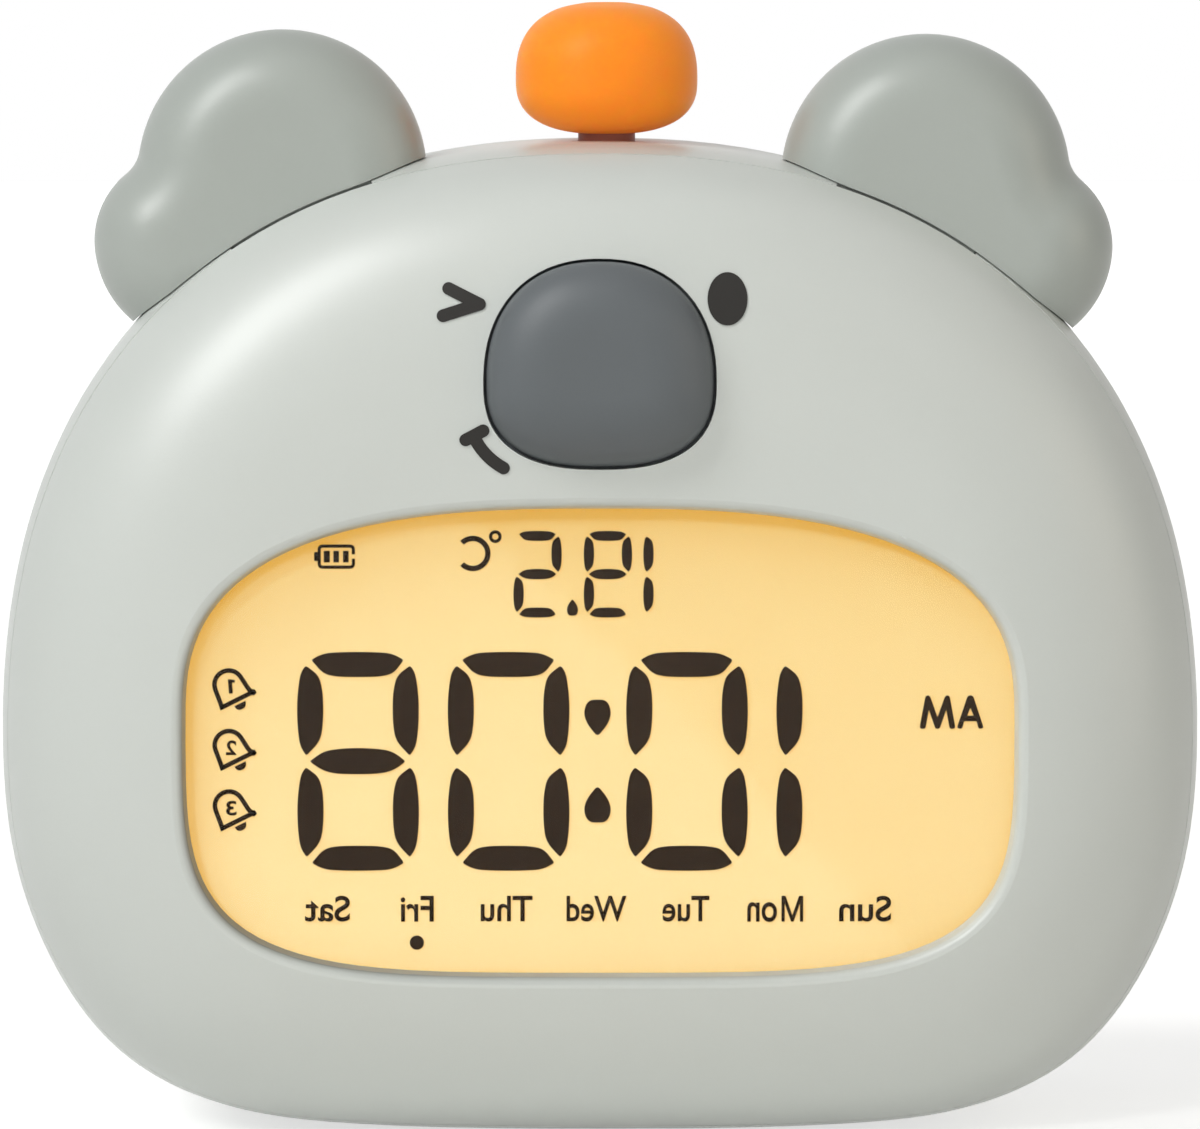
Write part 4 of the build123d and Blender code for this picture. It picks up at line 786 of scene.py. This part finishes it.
@dataclass
class SignSheet:
    """Flat signs that lie together in the ink layer and become one piece."""

    name: str
    layer: InkLayer
    mesh: bmesh.types.BMesh = field(default_factory=bmesh.new)

    def plate(self, corners: Sequence[Corner], place: Matrix | None = None, line: float = 0.0) -> None:
        """Add a flat shape at a place, filled or as an outline of the given line width."""
        self.settle(self.outline(corners), place or Matrix.Identity(4), line)

    @staticmethod
    def outline(corners: Sequence[Corner]) -> bmesh.types.BMesh:
        """Make a lone flat face with rounded corners.

        Args:
            corners: Each corner as across, up and how far its rounding reaches, in millimetres.

        Returns:
            The face's mesh.
        """
        made = bmesh.new()
        points = [made.verts.new((x, 0.0, z)) for x, z, _ in corners]
        made.faces.new(points)
        for point, (_, _, reach) in zip(points, corners):
            if reach > 0.0:
                bmesh.ops.bevel(
                    made, geom=[point], offset=reach, offset_type="OFFSET", segments=CORNER_STEPS,
                    profile=0.5, affect="VERTICES", clamp_overlap=False, material=-1,
                )
        return made

    def mirrored_plate(self, half: Sequence[Corner], place: Matrix) -> None:
        """Add a flat shape whose right half is its left half turned over.

        Args:
            half: The corners of the left half, up to the line where x is 0.
            place: Where the whole shape's middle goes.
        """
        made = self.outline(half)
        shape = [*made.verts, *made.edges, *made.faces]
        bmesh.ops.mirror(made, geom=shape, matrix=Matrix.Identity(4), merge_dist=MIRROR_MERGE, axis="X")
        bmesh.ops.recalc_face_normals(made, faces=made.faces)
        self.settle(made, place, 0.0)

    def disc(self, radius: float, place: Matrix, line: float = 0.0, missing: float = 0.0) -> None:
        """Add a round dot, a ring, or a ring with a gap on its left.

        Args:
            radius: The outer radius in millimetres.
            place: Where its middle goes.
            line: The width of a ring; 0 leaves the disc filled.
            missing: Half the angle of the gap in degrees.
        """
        made = bmesh.new()
        bmesh.ops.create_circle(made, cap_ends=True, segments=ROUND_STEPS, radius=radius)
        stand = Matrix.Rotation(UPRIGHT, 3, "X")
        bmesh.ops.rotate(made, verts=made.verts, cent=(0, 0, 0), matrix=stand)
        self.settle(made, place, line, missing)

    def settle(self, made: bmesh.types.BMesh, place: Matrix, line: float, missing: float = 0.0) -> None:
        """Turn a flat face into an outline where asked, move it to its spot and add it to the sheet.

        Args:
            made: The face's mesh.
            place: The move to its spot.
            line: The width of an outline; 0 leaves the face filled.
            missing: Half the angle of a gap on its left, in degrees.
        """
        if line > 0.0:
            heart = list(made.faces)
            bmesh.ops.inset_region(
                made, faces=heart, thickness=line, use_boundary=True, use_even_offset=True)
            bmesh.ops.delete(made, geom=heart, context="FACES")
        if missing > 0.0:
            limit = math.cos(math.radians(missing))
            gone = [f for f in made.faces if -f.calc_center_median().normalized().x > limit]
            bmesh.ops.delete(made, geom=gone, context="FACES")
        bmesh.ops.transform(made, matrix=place, verts=made.verts)
        pour(made, self.mesh)

    def gap(self, region: Box) -> None:
        """Cut a gap out of the flat shapes laid so far.

        Args:
            region: The gap's left, right, bottom and top in millimetres.
        """
        left, right, low, high = region
        for spot, normal in (((0, 0, low), (0, 0, 1)), ((0, 0, high), (0, 0, 1))):
            geometry = [*self.mesh.verts, *self.mesh.edges, *self.mesh.faces]
            bmesh.ops.bisect_plane(
                self.mesh, geom=geometry, plane_co=spot, plane_no=normal, dist=CUT_SNAP)
        gone = []
        for face in self.mesh.faces:
            middle = face.calc_center_median()
            if left < middle.x < right and low < middle.z < high:
                gone.append(face)
        bmesh.ops.delete(self.mesh, geom=gone, context="FACES")

    def word(self, text: str, box: Box, weight: float) -> None:
        """Add a word that reads from right to left, as all the display's words do.

        Args:
            text: The word.
            box: Its left, right, bottom and top in millimetres.
            weight: How much its strokes are thickened, in shares of the type size.
        """
        letters = bpy.data.curves.new(text, "FONT")
        letters.body, letters.offset = text, weight
        carrier = put_up(text, letters)
        bpy.context.view_layer.update()
        flat = bpy.data.meshes.new_from_object(carrier)
        bpy.data.objects.remove(carrier)
        bpy.data.curves.remove(letters)
        made = bmesh.new()
        made.from_mesh(flat)
        bpy.data.meshes.remove(flat)
        bmesh.ops.remove_doubles(made, verts=made.verts, dist=LETTER_MERGE)
        xs = [v.co.x for v in made.verts]
        ys = [v.co.y for v in made.verts]
        left, right, low, high = box
        wide, tall = (right - left) / (max(xs) - min(xs)), (high - low) / (max(ys) - min(ys))
        flip = Matrix.Diagonal((-wide, 1.0, tall, 1.0))
        stand = Matrix.Rotation(UPRIGHT, 4, "X")
        start = Matrix.Translation((-max(xs), -min(ys), 0.0))
        move = Matrix.Translation((left, 0.0, low)) @ flip @ stand @ start
        bmesh.ops.transform(made, matrix=move, verts=made.verts)
        pour(made, self.mesh)

    def finish(self) -> bpy.types.Object:
        """Give the flat shapes their thickness and put them on the clock as one piece.

        Returns:
            The finished piece.
        """
        flat = list(self.mesh.faces)
        grown = bmesh.ops.extrude_face_region(self.mesh, geom=flat)["geom"]
        raised = [item for item in grown if isinstance(item, bmesh.types.BMVert)]
        bmesh.ops.translate(self.mesh, verts=raised, vec=(0.0, self.layer.depth, 0.0))
        bmesh.ops.translate(self.mesh, verts=self.mesh.verts, vec=(0.0, self.layer.front, 0.0))
        bmesh.ops.scale(self.mesh, verts=self.mesh.verts, vec=(MM, MM, MM))
        bmesh.ops.recalc_face_normals(self.mesh, faces=self.mesh.faces)
        return settle_piece(self.name, self.mesh, self.layer.paint, self.layer.slot)


def settle_piece(name: str, made: bmesh.types.BMesh, paint: Paintbox, slot: str) -> bpy.types.Object:
    """Make a finished mesh into a piece that rides on the clock's main body.

    Args:
        name: The piece's name.
        made: The finished mesh.
        paint: The materials.
        slot: The record's slot for the piece.

    Returns:
        The piece.
    """
    mesh = bpy.data.meshes.new(name)
    made.to_mesh(mesh)
    made.free()
    piece = put_up(name, mesh)
    mesh.materials.append(paint.material(slot))
    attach(piece, CLOCK)
    log.info("%s: %d faces", name, len(mesh.polygons))
    return piece


class Bar(Enum):
    """The seven bars of a figure, as they lie when looked at."""

    TOP = "top"
    MIDDLE = "middle"
    BOTTOM = "bottom"
    UPPER_LEFT = "upper left"
    LOWER_LEFT = "lower left"
    UPPER_RIGHT = "upper right"
    LOWER_RIGHT = "lower right"


UNIT_WIDTH = 100.0               # a figure is drawn this wide and this tall before it is sized
UNIT_HEIGHT = 180.7
LOWER_SHIFT = 84.3               # from an upper bar to the one below it
TOP_BAR: tuple[Corner, ...] = (
    (11.4, 174.5, 1.7), (21.5, 180.2, 6.2), (49.4, 181.4, 13.7), (78.0, 180.2, 6.2), (88.0, 174.5, 1.7),
    (79.3, 163.0, 5.0), (68.1, 160.7, 5.0), (49.4, 160.3, 7.5), (32.0, 160.7, 5.0), (21.5, 163.0, 5.0),
)
MIDDLE_BAR: tuple[Corner, ...] = (
    (9.9, 90.4, 1.7), (21.5, 98.9, 5.6), (34.5, 100.8, 5.6), (49.4, 101.6, 7.5), (68.1, 100.6, 5.6),
    (79.3, 98.5, 5.6), (89.4, 90.4, 1.7), (79.3, 82.8, 5.6), (68.1, 80.3, 5.6), (49.4, 79.7, 7.5),
    (29.6, 80.3, 5.6), (19.6, 83.5, 4.3),
)
SIDE_BAR: tuple[Corner, ...] = (
    (6.8, 169.8, 1.7), (2.6, 164.0, 3.7), (0.3, 149.7, 7.5), (-0.6, 133.5, 8.1), (0.3, 113.7, 7.5),
    (2.3, 102.5, 3.7), (7.2, 95.2, 1.7), (18.8, 107.5, 6.2), (20.8, 119.9, 5.6), (21.4, 133.5, 7.5),
    (20.8, 148.4, 5.6), (17.8, 161.5, 5.0),
)
ALL_BARS = tuple(Bar)
LIT_NOUGHT = tuple(bar for bar in Bar if bar is not Bar.MIDDLE)
LIT_ONE = (Bar.UPPER_LEFT, Bar.LOWER_LEFT)
LIT_NINE = tuple(bar for bar in Bar if bar is not Bar.LOWER_RIGHT)
LIT_FIVE = (Bar.TOP, Bar.UPPER_RIGHT, Bar.MIDDLE, Bar.LOWER_LEFT, Bar.BOTTOM)


def bar_outline(bar: Bar) -> tuple[Corner, ...]:
    """Find the outline of one bar of a figure.

    Args:
        bar: The bar.

    Returns:
        Its corners, in the figure's own units.
    """
    if bar is Bar.TOP:
        return TOP_BAR
    if bar is Bar.MIDDLE:
        return MIDDLE_BAR
    if bar is Bar.BOTTOM:
        return tuple((x, UNIT_HEIGHT - z, reach) for x, z, reach in TOP_BAR)
    drop = LOWER_SHIFT if bar in (Bar.LOWER_LEFT, Bar.LOWER_RIGHT) else 0.0
    left = bar in (Bar.UPPER_LEFT, Bar.LOWER_LEFT)
    return tuple((x if left else UNIT_WIDTH - x, z - drop, reach) for x, z, reach in SIDE_BAR)


@dataclass
class Figure:
    """One seven-bar figure of the display."""

    left: float
    base: float
    width: float
    height: float
    lit: tuple[Bar, ...]

    def draw(self, sheet: SignSheet) -> None:
        """Lay the figure's lit bars on a sheet.

        Args:
            sheet: The sheet.
        """
        across, up = self.width / UNIT_WIDTH, self.height / UNIT_HEIGHT
        for bar in self.lit:
            sheet.plate([
                (self.left + x * across, self.base + z * up, reach * across)
                for x, z, reach in bar_outline(bar)
            ])


DROP: tuple[Corner, ...] = (         # in shares of its half width, its height and its half width
    (0.0, 0.57, 0.30), (-0.78, 0.20, 0.36), (-1.06, -0.14, 0.38), (-0.70, -0.50, 0.42),
    (0.70, -0.50, 0.42), (1.06, -0.14, 0.38), (0.78, 0.20, 0.36),
)


@dataclass
class Drop:
    """A dot with one pointed side, as between the hours and the minutes."""

    x: float
    z: float
    width: float
    height: float
    points_up: bool = True

    def draw(self, sheet: SignSheet) -> None:
        """Lay the dot on a sheet.

        Args:
            sheet: The sheet.
        """
        half, tall = self.width / 2, self.height if self.points_up else -self.height
        corners = [(x * half, z * tall, reach * half) for x, z, reach in DROP]
        sheet.plate(corners, place_on_face(self.x, self.z))


@dataclass
class TimeFigures:
    """The time's big figures and the temperature's small ones, in the place of the plain bars."""

    base: float = 29.15
    width: float = 12.54
    height: float = 22.75
    small_base: float = 55.57
    small_width: float = 4.98
    small_height: float = 8.96
    figures: tuple[tuple[float, tuple[Bar, ...]], ...] = (
        (-31.42, ALL_BARS), (-15.77, LIT_NOUGHT), (2.77, LIT_NOUGHT), (18.38, LIT_ONE))
    small_figures: tuple[tuple[float, tuple[Bar, ...]], ...] = (
        (-8.97, LIT_FIVE), (-1.67, LIT_NINE), (4.51, LIT_ONE))
    dots: tuple[Drop, ...] = (
        Drop(-0.26, 45.17, 2.78, 3.60, points_up=False), Drop(-0.26, 35.95, 2.78, 3.60),
        Drop(-2.86, 56.55, 1.16, 1.62))

    def build(self, layer: InkLayer) -> None:
        """Draw the figures.

        Args:
            layer: The ink layer.
        """
        sheet = SignSheet("lcd_figures", layer)
        for left, lit in self.figures:
            Figure(left, self.base, self.width, self.height, lit).draw(sheet)
        for left, lit in self.small_figures:
            Figure(left, self.small_base, self.small_width, self.small_height, lit).draw(sheet)
        for dot in self.dots:
            dot.draw(sheet)
        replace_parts(sheet.finish(), "lcd_digits")


HALF_SMALL_M: tuple[Corner, ...] = (     # the left half of a thin letter, up from its foot at 0
    (-1.13, 0.0, 0.05), (-1.13, 2.69, 0.05), (-0.70, 2.69, 0.05), (0.0, 0.66, 0.0), (0.0, 0.0, 0.0),
    (-0.13, 0.0, 0.03), (-0.79, 1.86, 0.0), (-0.79, 0.0, 0.05),
)


@dataclass
class WeekdayNames:
    """The row of weekdays along the foot of the display, and the dot under today's."""

    base: float = 23.78
    top: float = 26.47
    names: tuple[tuple[str, float, float], ...] = (
        ("Sat", -30.71, -26.04), ("Fri", -20.74, -17.31), ("Thu", -12.42, -7.02), ("Wed", -3.48, 2.75),
        ("Tue", 6.50, 11.38), ("Sun", 24.89, 30.30))
    rest_of_monday: Box = (15.33, 18.42, 23.74, 25.80)
    weight: float = 0.014
    letter_m_x: float = 20.02        # its strokes would run together if they were thickened
    dot: tuple[float, float] = (-19.07, 21.57)
    dot_radius: float = 0.74

    def build(self, layer: InkLayer) -> None:
        """Set the names and the dot.

        Args:
            layer: The ink layer.
        """
        sheet = SignSheet("weekday_names", layer)
        for name, left, right in self.names:
            sheet.word(name, (left, right, self.base, self.top), self.weight)
        sheet.mirrored_plate(HALF_SMALL_M, place_on_face(self.letter_m_x, self.base))
        sheet.word("on", self.rest_of_monday, self.weight)
        sheet.finish()
        mark = SignSheet("today_dot", layer)
        mark.disc(self.dot_radius, place_on_face(*self.dot))
        mark.finish()


BELL: tuple[Corner, ...] = (         # the middle of the rim is at 0, 0
    (-2.11, -0.02, 0.04), (-2.00, 0.75, 0.25), (-1.70, 3.73, 1.50), (1.42, 3.73, 1.50),
    (1.72, 0.72, 0.20), (2.12, -0.02, 0.04),
)
CLAPPER: tuple[Corner, ...] = (
    (-0.64, -0.26, 0.04), (0.66, -0.26, 0.04), (0.44, -0.88, 0.36), (-0.50, -0.88, 0.36),
)
NUMBER_ONE: tuple[Corner, ...] = (   # the foot of its stroke is at 0, 0
    (-0.20, 0.0, 0.06), (-0.24, 1.48, 0.05), (0.02, 1.48, 0.05), (0.49, 1.37, 0.06), (0.45, 1.09, 0.06),
    (0.18, 1.13, 0.03), (0.20, 0.0, 0.06),
)


@dataclass
class AlarmBells:
    """Three leaning bells with their numbers, one for each alarm."""

    x: float = -37.54
    first_z: float = 46.80
    pitch: float = 6.32
    lean: float = 26.5
    line: float = 0.47
    number_shift: float = -0.80      # from the middle of the rim
    number_rise: float = 0.72
    number_height: float = 1.52
    number_width: float = 1.08
    number_weight: float = 0.02
    one_rise: float = 0.1            # the number one is drawn, not set, a little higher and leaning
    one_lean: float = 3.0

    def build(self, layer: InkLayer) -> None:
        """Draw each bell with its clapper and number.

        Args:
            layer: The ink layer.
        """
        sheet = SignSheet("alarm_bells", layer)
        for i, number in enumerate("123"):
            z = self.first_z - i * self.pitch
            place = place_on_face(self.x, z, self.lean)
            sheet.plate(BELL, place, line=self.line)
            sheet.plate(CLAPPER, place)
            middle, low = self.x + self.number_shift, z + self.number_rise
            if number == "1":
                sheet.plate(NUMBER_ONE, place_on_face(middle, low + self.one_rise, self.one_lean))
                continue
            half = self.number_width / 2
            box = (middle - half, middle + half, low, low + self.number_height)
            sheet.word(number, box, self.number_weight)
        sheet.finish()


@dataclass
class BatterySign:
    """The battery sign: an outline with three bars, a nub, and a gap in its closed end."""

    box: Box = (-29.30, -25.42, 60.62, 63.14)
    line: float = 0.33
    corner: float = 0.5
    nub: Box = (-29.66, -29.28, 61.42, 62.36)
    bars: tuple[tuple[float, float], ...] = ((-28.66, -28.03), (-27.66, -27.08), (-26.66, -26.08))
    bar_low: float = 61.28
    bar_high: float = 62.48
    bar_corner: float = 0.06
    nub_corner: float = 0.12
    gap_low: float = 61.66
    gap_high: float = 62.12
    gap_depth: float = 1.5           # in widths of the line

    def build(self, layer: InkLayer) -> None:
        """Draw the sign.

        Args:
            layer: The ink layer.
        """
        sheet = SignSheet("battery_sign", layer)
        sheet.plate(self.block(self.box, self.corner), line=self.line)
        right = self.box[1]
        sheet.gap((right - self.gap_depth * self.line, right + self.line, self.gap_low, self.gap_high))
        for left, right in self.bars:
            sheet.plate(self.block((left, right, self.bar_low, self.bar_high), self.bar_corner))
        sheet.plate(self.block(self.nub, self.nub_corner))
        sheet.finish()

    @staticmethod
    def block(box: Box, corner: float) -> list[Corner]:
        """The corners of a block, all rounded alike."""
        left, right, low, high = box
        return [(x, z, corner) for x, z in ((left, low), (left, high), (right, high), (right, low))]


HALF_M: tuple[Corner, ...] = (       # the left half of a letter, up from its foot at 0
    (-1.877, 0.02, 0.24), (-1.244, 3.46, 0.25), (-0.809, 3.46, 0.25), (0.0, 1.20, 0.0),
    (0.0, -0.02, 0.0), (-0.22, -0.02, 0.18), (-0.903, 1.95, 0.05), (-1.270, -0.05, 0.24),
)
HALF_A: tuple[Corner, ...] = (
    (-1.400, 0.06, 0.20), (-0.276, 3.46, 0.24), (0.0, 3.46, 0.0), (0.0, 2.15, 0.0),
    (-0.329, 1.35, 0.03), (0.0, 1.35, 0.0), (0.0, 0.77, 0.0), (-0.636, 0.77, 0.03),
    (-0.870, -0.05, 0.20),
)


@dataclass
class SmallSigns:
    """The degree sign with its C, and the morning sign."""

    c_spot: tuple[float, float] = (-13.20, 62.21)
    c_radius: float = 1.84
    c_line: float = 0.55
    c_gap: float = 42.0
    ring_spot: tuple[float, float] = (-10.86, 63.96)
    ring_radius: float = 0.66
    ring_line: float = 0.34
    half_day_base: float = 43.96
    half_day_letters: tuple[tuple[float, tuple[Corner, ...]], ...] = ((35.07, HALF_M), (38.48, HALF_A))

    def build(self, layer: InkLayer) -> None:
        """Draw both signs.

        Args:
            layer: The ink layer.
        """
        degrees = SignSheet("degree_sign", layer)
        degrees.disc(self.c_radius, place_on_face(*self.c_spot), line=self.c_line, missing=self.c_gap)
        degrees.disc(self.ring_radius, place_on_face(*self.ring_spot), line=self.ring_line)
        degrees.finish()
        morning = SignSheet("half_day_sign", layer)
        for x, half in self.half_day_letters:
            morning.mirrored_plate(half, place_on_face(x, self.half_day_base))
        morning.finish()


@dataclass
class Display:
    """All that the display shows, on the front of its glass."""

    signs: tuple[TimeFigures | WeekdayNames | AlarmBells | BatterySign | SmallSigns, ...] = field(
        default_factory=lambda: (
            TimeFigures(), WeekdayNames(), AlarmBells(), BatterySign(), SmallSigns()))

    def build(self, paint: Paintbox) -> None:
        """Draw everything just in front of the glass.

        Args:
            paint: The materials.
        """
        layer = InkLayer(paint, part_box("lcd_glass")[0].y / MM - INK_DEPTH)
        for sign in self.signs:
            sign.build(layer)


# ---------------------------------------------------------------- return springs
@dataclass
class ReturnSpring:
    """The coil spring under a button or knob, copied as one piece in the place of the CAD part."""

    node: str
    joint: str
    axis: Corner                     # the way in
    travel: float                    # how far its loose end goes, in millimetres

    def build(self, paint: Paintbox) -> None:
        """Put a merged copy of the coil in the place of the CAD part.

        Args:
            paint: The materials.
        """
        made = bmesh.new()
        made.from_mesh(bpy.data.objects[self.node].data)
        bmesh.ops.remove_doubles(made, verts=made.verts, dist=WIRE_MERGE)
        piece = settle_piece(f"{self.node}_coil", made, paint, "spring_steel")
        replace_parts(piece, self.node)
        low, high = (Vector(corner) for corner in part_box(self.node))
        way = Vector(self.axis)
        middle, span = (low + high) / 2, abs((high - low).dot(way))
        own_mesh(piece)


RETURN_SPRINGS = (
    ReturnSpring("nose_spring", "nose_press", (0.0, 1.0, 0.0), 1.0),
    ReturnSpring("knob_spring", "knob_press", (0.0, 0.0, -1.0), 0.6),
)


# ---------------------------------------------------------------- studio
@dataclass
class Lamp:
    """A soft lamp that faces the clock, square unless it is given a length."""

    name: str
    place: Corner
    size: float
    power: float
    colour: Colour = (1.0, 1.0, 1.0)
    glints: bool = False             # whether its own highlight shows
    length: float = 0.0
    roll: float = 0.0
    spared: str = ""                 # a thing that it doesn't light
    spreads: bool = True             # whether it lights matt surfaces too

    def hang(self, target: Corner) -> None:
        """Put the lamp up.

        Args:
            target: What it is turned to, in metres.
        """
        data = bpy.data.lights.new(self.name, "AREA")
        data.shape, data.size, data.size_y = "RECTANGLE", self.size, self.length or self.size
        data.energy, data.color = self.power, self.colour
        lamp = put_up(self.name, data)
        aim_at(lamp, self.place, target, self.roll)
        lamp.visible_glossy, lamp.visible_diffuse = self.glints, self.spreads
        if self.spared:
            apart = bpy.data.collections.new(f"not lit by the {self.name}")
            apart.objects.link(bpy.data.objects[self.spared])
            apart.collection_objects[0].light_linking.link_state = "EXCLUDE"
            lamp.light_linking.receiver_collection = apart


@dataclass
class Sheen:
    """A far spot whose straight edge crosses the lit display, and which lights nothing else."""

    place: Corner = (-0.45, -1.40, 0.35)
    aim: Corner = (-0.353, -0.0215, -0.300)
    half_angle: float = 19.06
    softness: float = 0.004          # of the edge
    bulb: float = 0.001
    power: float = 24.0
    colour: Colour = (0.92, 0.97, 1.20)

    def hang(self) -> None:
        """Put the spot up, and link it to the display's glass alone."""
        data = bpy.data.lights.new("sheen spot", "SPOT")
        data.energy, data.spot_size = self.power, math.radians(2 * self.half_angle)
        data.spot_blend, data.shadow_soft_size, data.color = self.softness, self.bulb, self.colour
        spot = put_up("sheen spot", data)
        aim_at(spot, self.place, self.aim)
        lit = bpy.data.collections.new("lit by the sheen spot")
        lit.objects.link(bpy.data.objects["lcd_glass"])
        spot.light_linking.receiver_collection = lit


def seen_directly(graph: Graph) -> Socket:
    """Tell which rays show the room itself.

    Args:
        graph: The material's or the world's tree.

    Returns:
        1 for rays from the camera, off a gloss or through glass, and 0 for others.
    """
    path = graph.node("ShaderNodeLightPath").outputs
    shown = graph.sum_up("MAXIMUM", path["Is Camera Ray"], path["Is Glossy Ray"])
    return graph.sum_up("MAXIMUM", shown, path["Is Transmission Ray"])


@dataclass
class TableTop:
    """A round white table top that shows the clock's shadow."""

    name: str = "table_top"
    radius: float = 3.0
    steps: int = 96
    tone: Colour = (0.86, 0.86, 0.85)
    shade: Colour = (0.84, 0.84, 0.83)
    gloss: float = 0.9
    cloud: float = 9.0               # how often the tone changes in a metre
    lift: float = 0.62               # its own light near the clock; it grows to 1 far off
    reach: tuple[float, float] = (0.25, 1.30)

    def build(self) -> None:
        """Lay the table top under the clock."""
        made = bmesh.new()
        bmesh.ops.create_circle(made, cap_ends=True, segments=self.steps, radius=self.radius)
        mesh = bpy.data.meshes.new(self.name)
        made.to_mesh(mesh)
        made.free()
        mesh.materials.append(self.material())
        put_up(self.name, mesh)

    def material(self) -> bpy.types.Material:
        """White laminate, lifted to the white of the room where the clock's shadow doesn't reach.

        Returns:
            The material.
        """
        made, graph = fresh_material("white table")
        place = graph.place()
        cloud = graph.node("ShaderNodeTexNoise", Vector=place, Scale=self.cloud, Detail=2.0)
        far = graph.node("ShaderNodeVectorMath", {"operation": "LENGTH"})
        graph.feed(far.inputs[0], place)
        growing = graph.ranged(far.outputs["Value"], *self.reach, self.lift, 1.0)
        shader = graph.node(
            "ShaderNodeBsdfPrincipled",
            Base_Color=graph.blend(cloud.outputs["Fac"], self.tone, self.shade),
            Roughness=self.gloss, Emission_Color=(1.0, 1.0, 1.0, 1.0),
            Emission_Strength=graph.sum_up("MULTIPLY", seen_directly(graph), growing),
        )
        graph.node("ShaderNodeOutputMaterial", Surface=shader.outputs["BSDF"])
        return made


@dataclass
class Studio:
    """A white table in a plain white room, soft light, and the camera."""

    aim: Corner = (0.0, 0.0, 0.05937)
    distance: float = 0.900
    elevation: float = 4.5
    frame_width: float = 0.12756     # what the frame takes in at the aim's distance
    clip: tuple[float, float] = (0.05, 50.0)
    room_light: float = 0.115
    table: TableTop = field(default_factory=TableTop)
    lamps: tuple[Lamp, ...] = (
        Lamp("left window", (-0.80, -0.50, 1.01), 0.30, 8.3, length=0.86, roll=-19.0),
        Lamp("window glint", (-0.70, -0.74, 0.93), 0.36, 12.0, glints=True, length=0.80,
             roll=-19.0, spreads=False),
        Lamp("right window", (0.64, -0.99, 0.74), 0.40, 0.6, glints=True),
        Lamp("key lamp", (-0.50, -1.16, 0.62), 0.22, 4.6, (1.0, 1.0, 0.99)),
        Lamp("low fill", (0.15, -1.40, 0.10), 0.60, 3.6, (1.0, 1.0, 0.99)),
        Lamp("ceiling lamp", (0.0, -0.30, 1.40), 0.80, 1.1, glints=True),
        Lamp("warm lamp", (1.30, -0.60, 0.40), 0.80, 2.9, (1.0, 0.85, 0.68), glints=True),
        Lamp("back fill", (-0.30, 1.50, 0.55), 1.20, 7.0, spared="table_top"),
    )
    sheen: Sheen = field(default_factory=Sheen)

    def build(self) -> None:
        """Put up the room, the table, the lamps and the camera."""
        self.camera()
        self.room()
        self.table.build()
        for lamp in self.lamps:
            lamp.hang(self.aim)
        self.sheen.hang()
        bpy.context.scene.view_settings.view_transform = "Standard"

    def camera(self) -> None:
        """Stand the camera in front of the clock, a little above it."""
        data = bpy.data.cameras.new("camera")
        camera = put_up("camera", data)
        lift = math.radians(self.elevation)
        back = Vector((0.0, -math.cos(lift), math.sin(lift)))
        aim_at(camera, Vector(self.aim) + back * self.distance, self.aim)
        data.lens = data.sensor_width * self.distance / self.frame_width
        data.clip_start, data.clip_end = self.clip
        bpy.context.scene.camera = camera

    def room(self) -> None:
        """White walls all round that give an even, softer light than they show."""
        world = bpy.data.worlds.new("white room")
        bpy.context.scene.world = world
        world.use_nodes = True
        graph = Graph(world.node_tree)
        strength = graph.ranged(seen_directly(graph), 0.0, 1.0, self.room_light, 1.0)
        back = graph.node("ShaderNodeBackground", Color=(1.0, 1.0, 1.0, 1.0), Strength=strength)
        graph.node("ShaderNodeOutputWorld", Surface=back.outputs[0])


def dress_parts(nodes: Iterable[bpy.types.Object], paint: Paintbox) -> None:
    """Give every part of the CAD model its finish."""
    for node in nodes:
        log.info("%s: %s", node.name, paint.dress(node))


def main() -> None:
    """Dress the clock, build its display and its studio."""
    logging.basicConfig(level=logging.INFO, format="%(message)s")
    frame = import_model()
    paint = Paintbox(FINISHES)
    dress_parts(frame["nodes"].values(), paint)
    for spring in RETURN_SPRINGS:
        spring.build(paint)
    Display().build(paint)
    Studio().build()


if __name__ == "__main__":
    main()
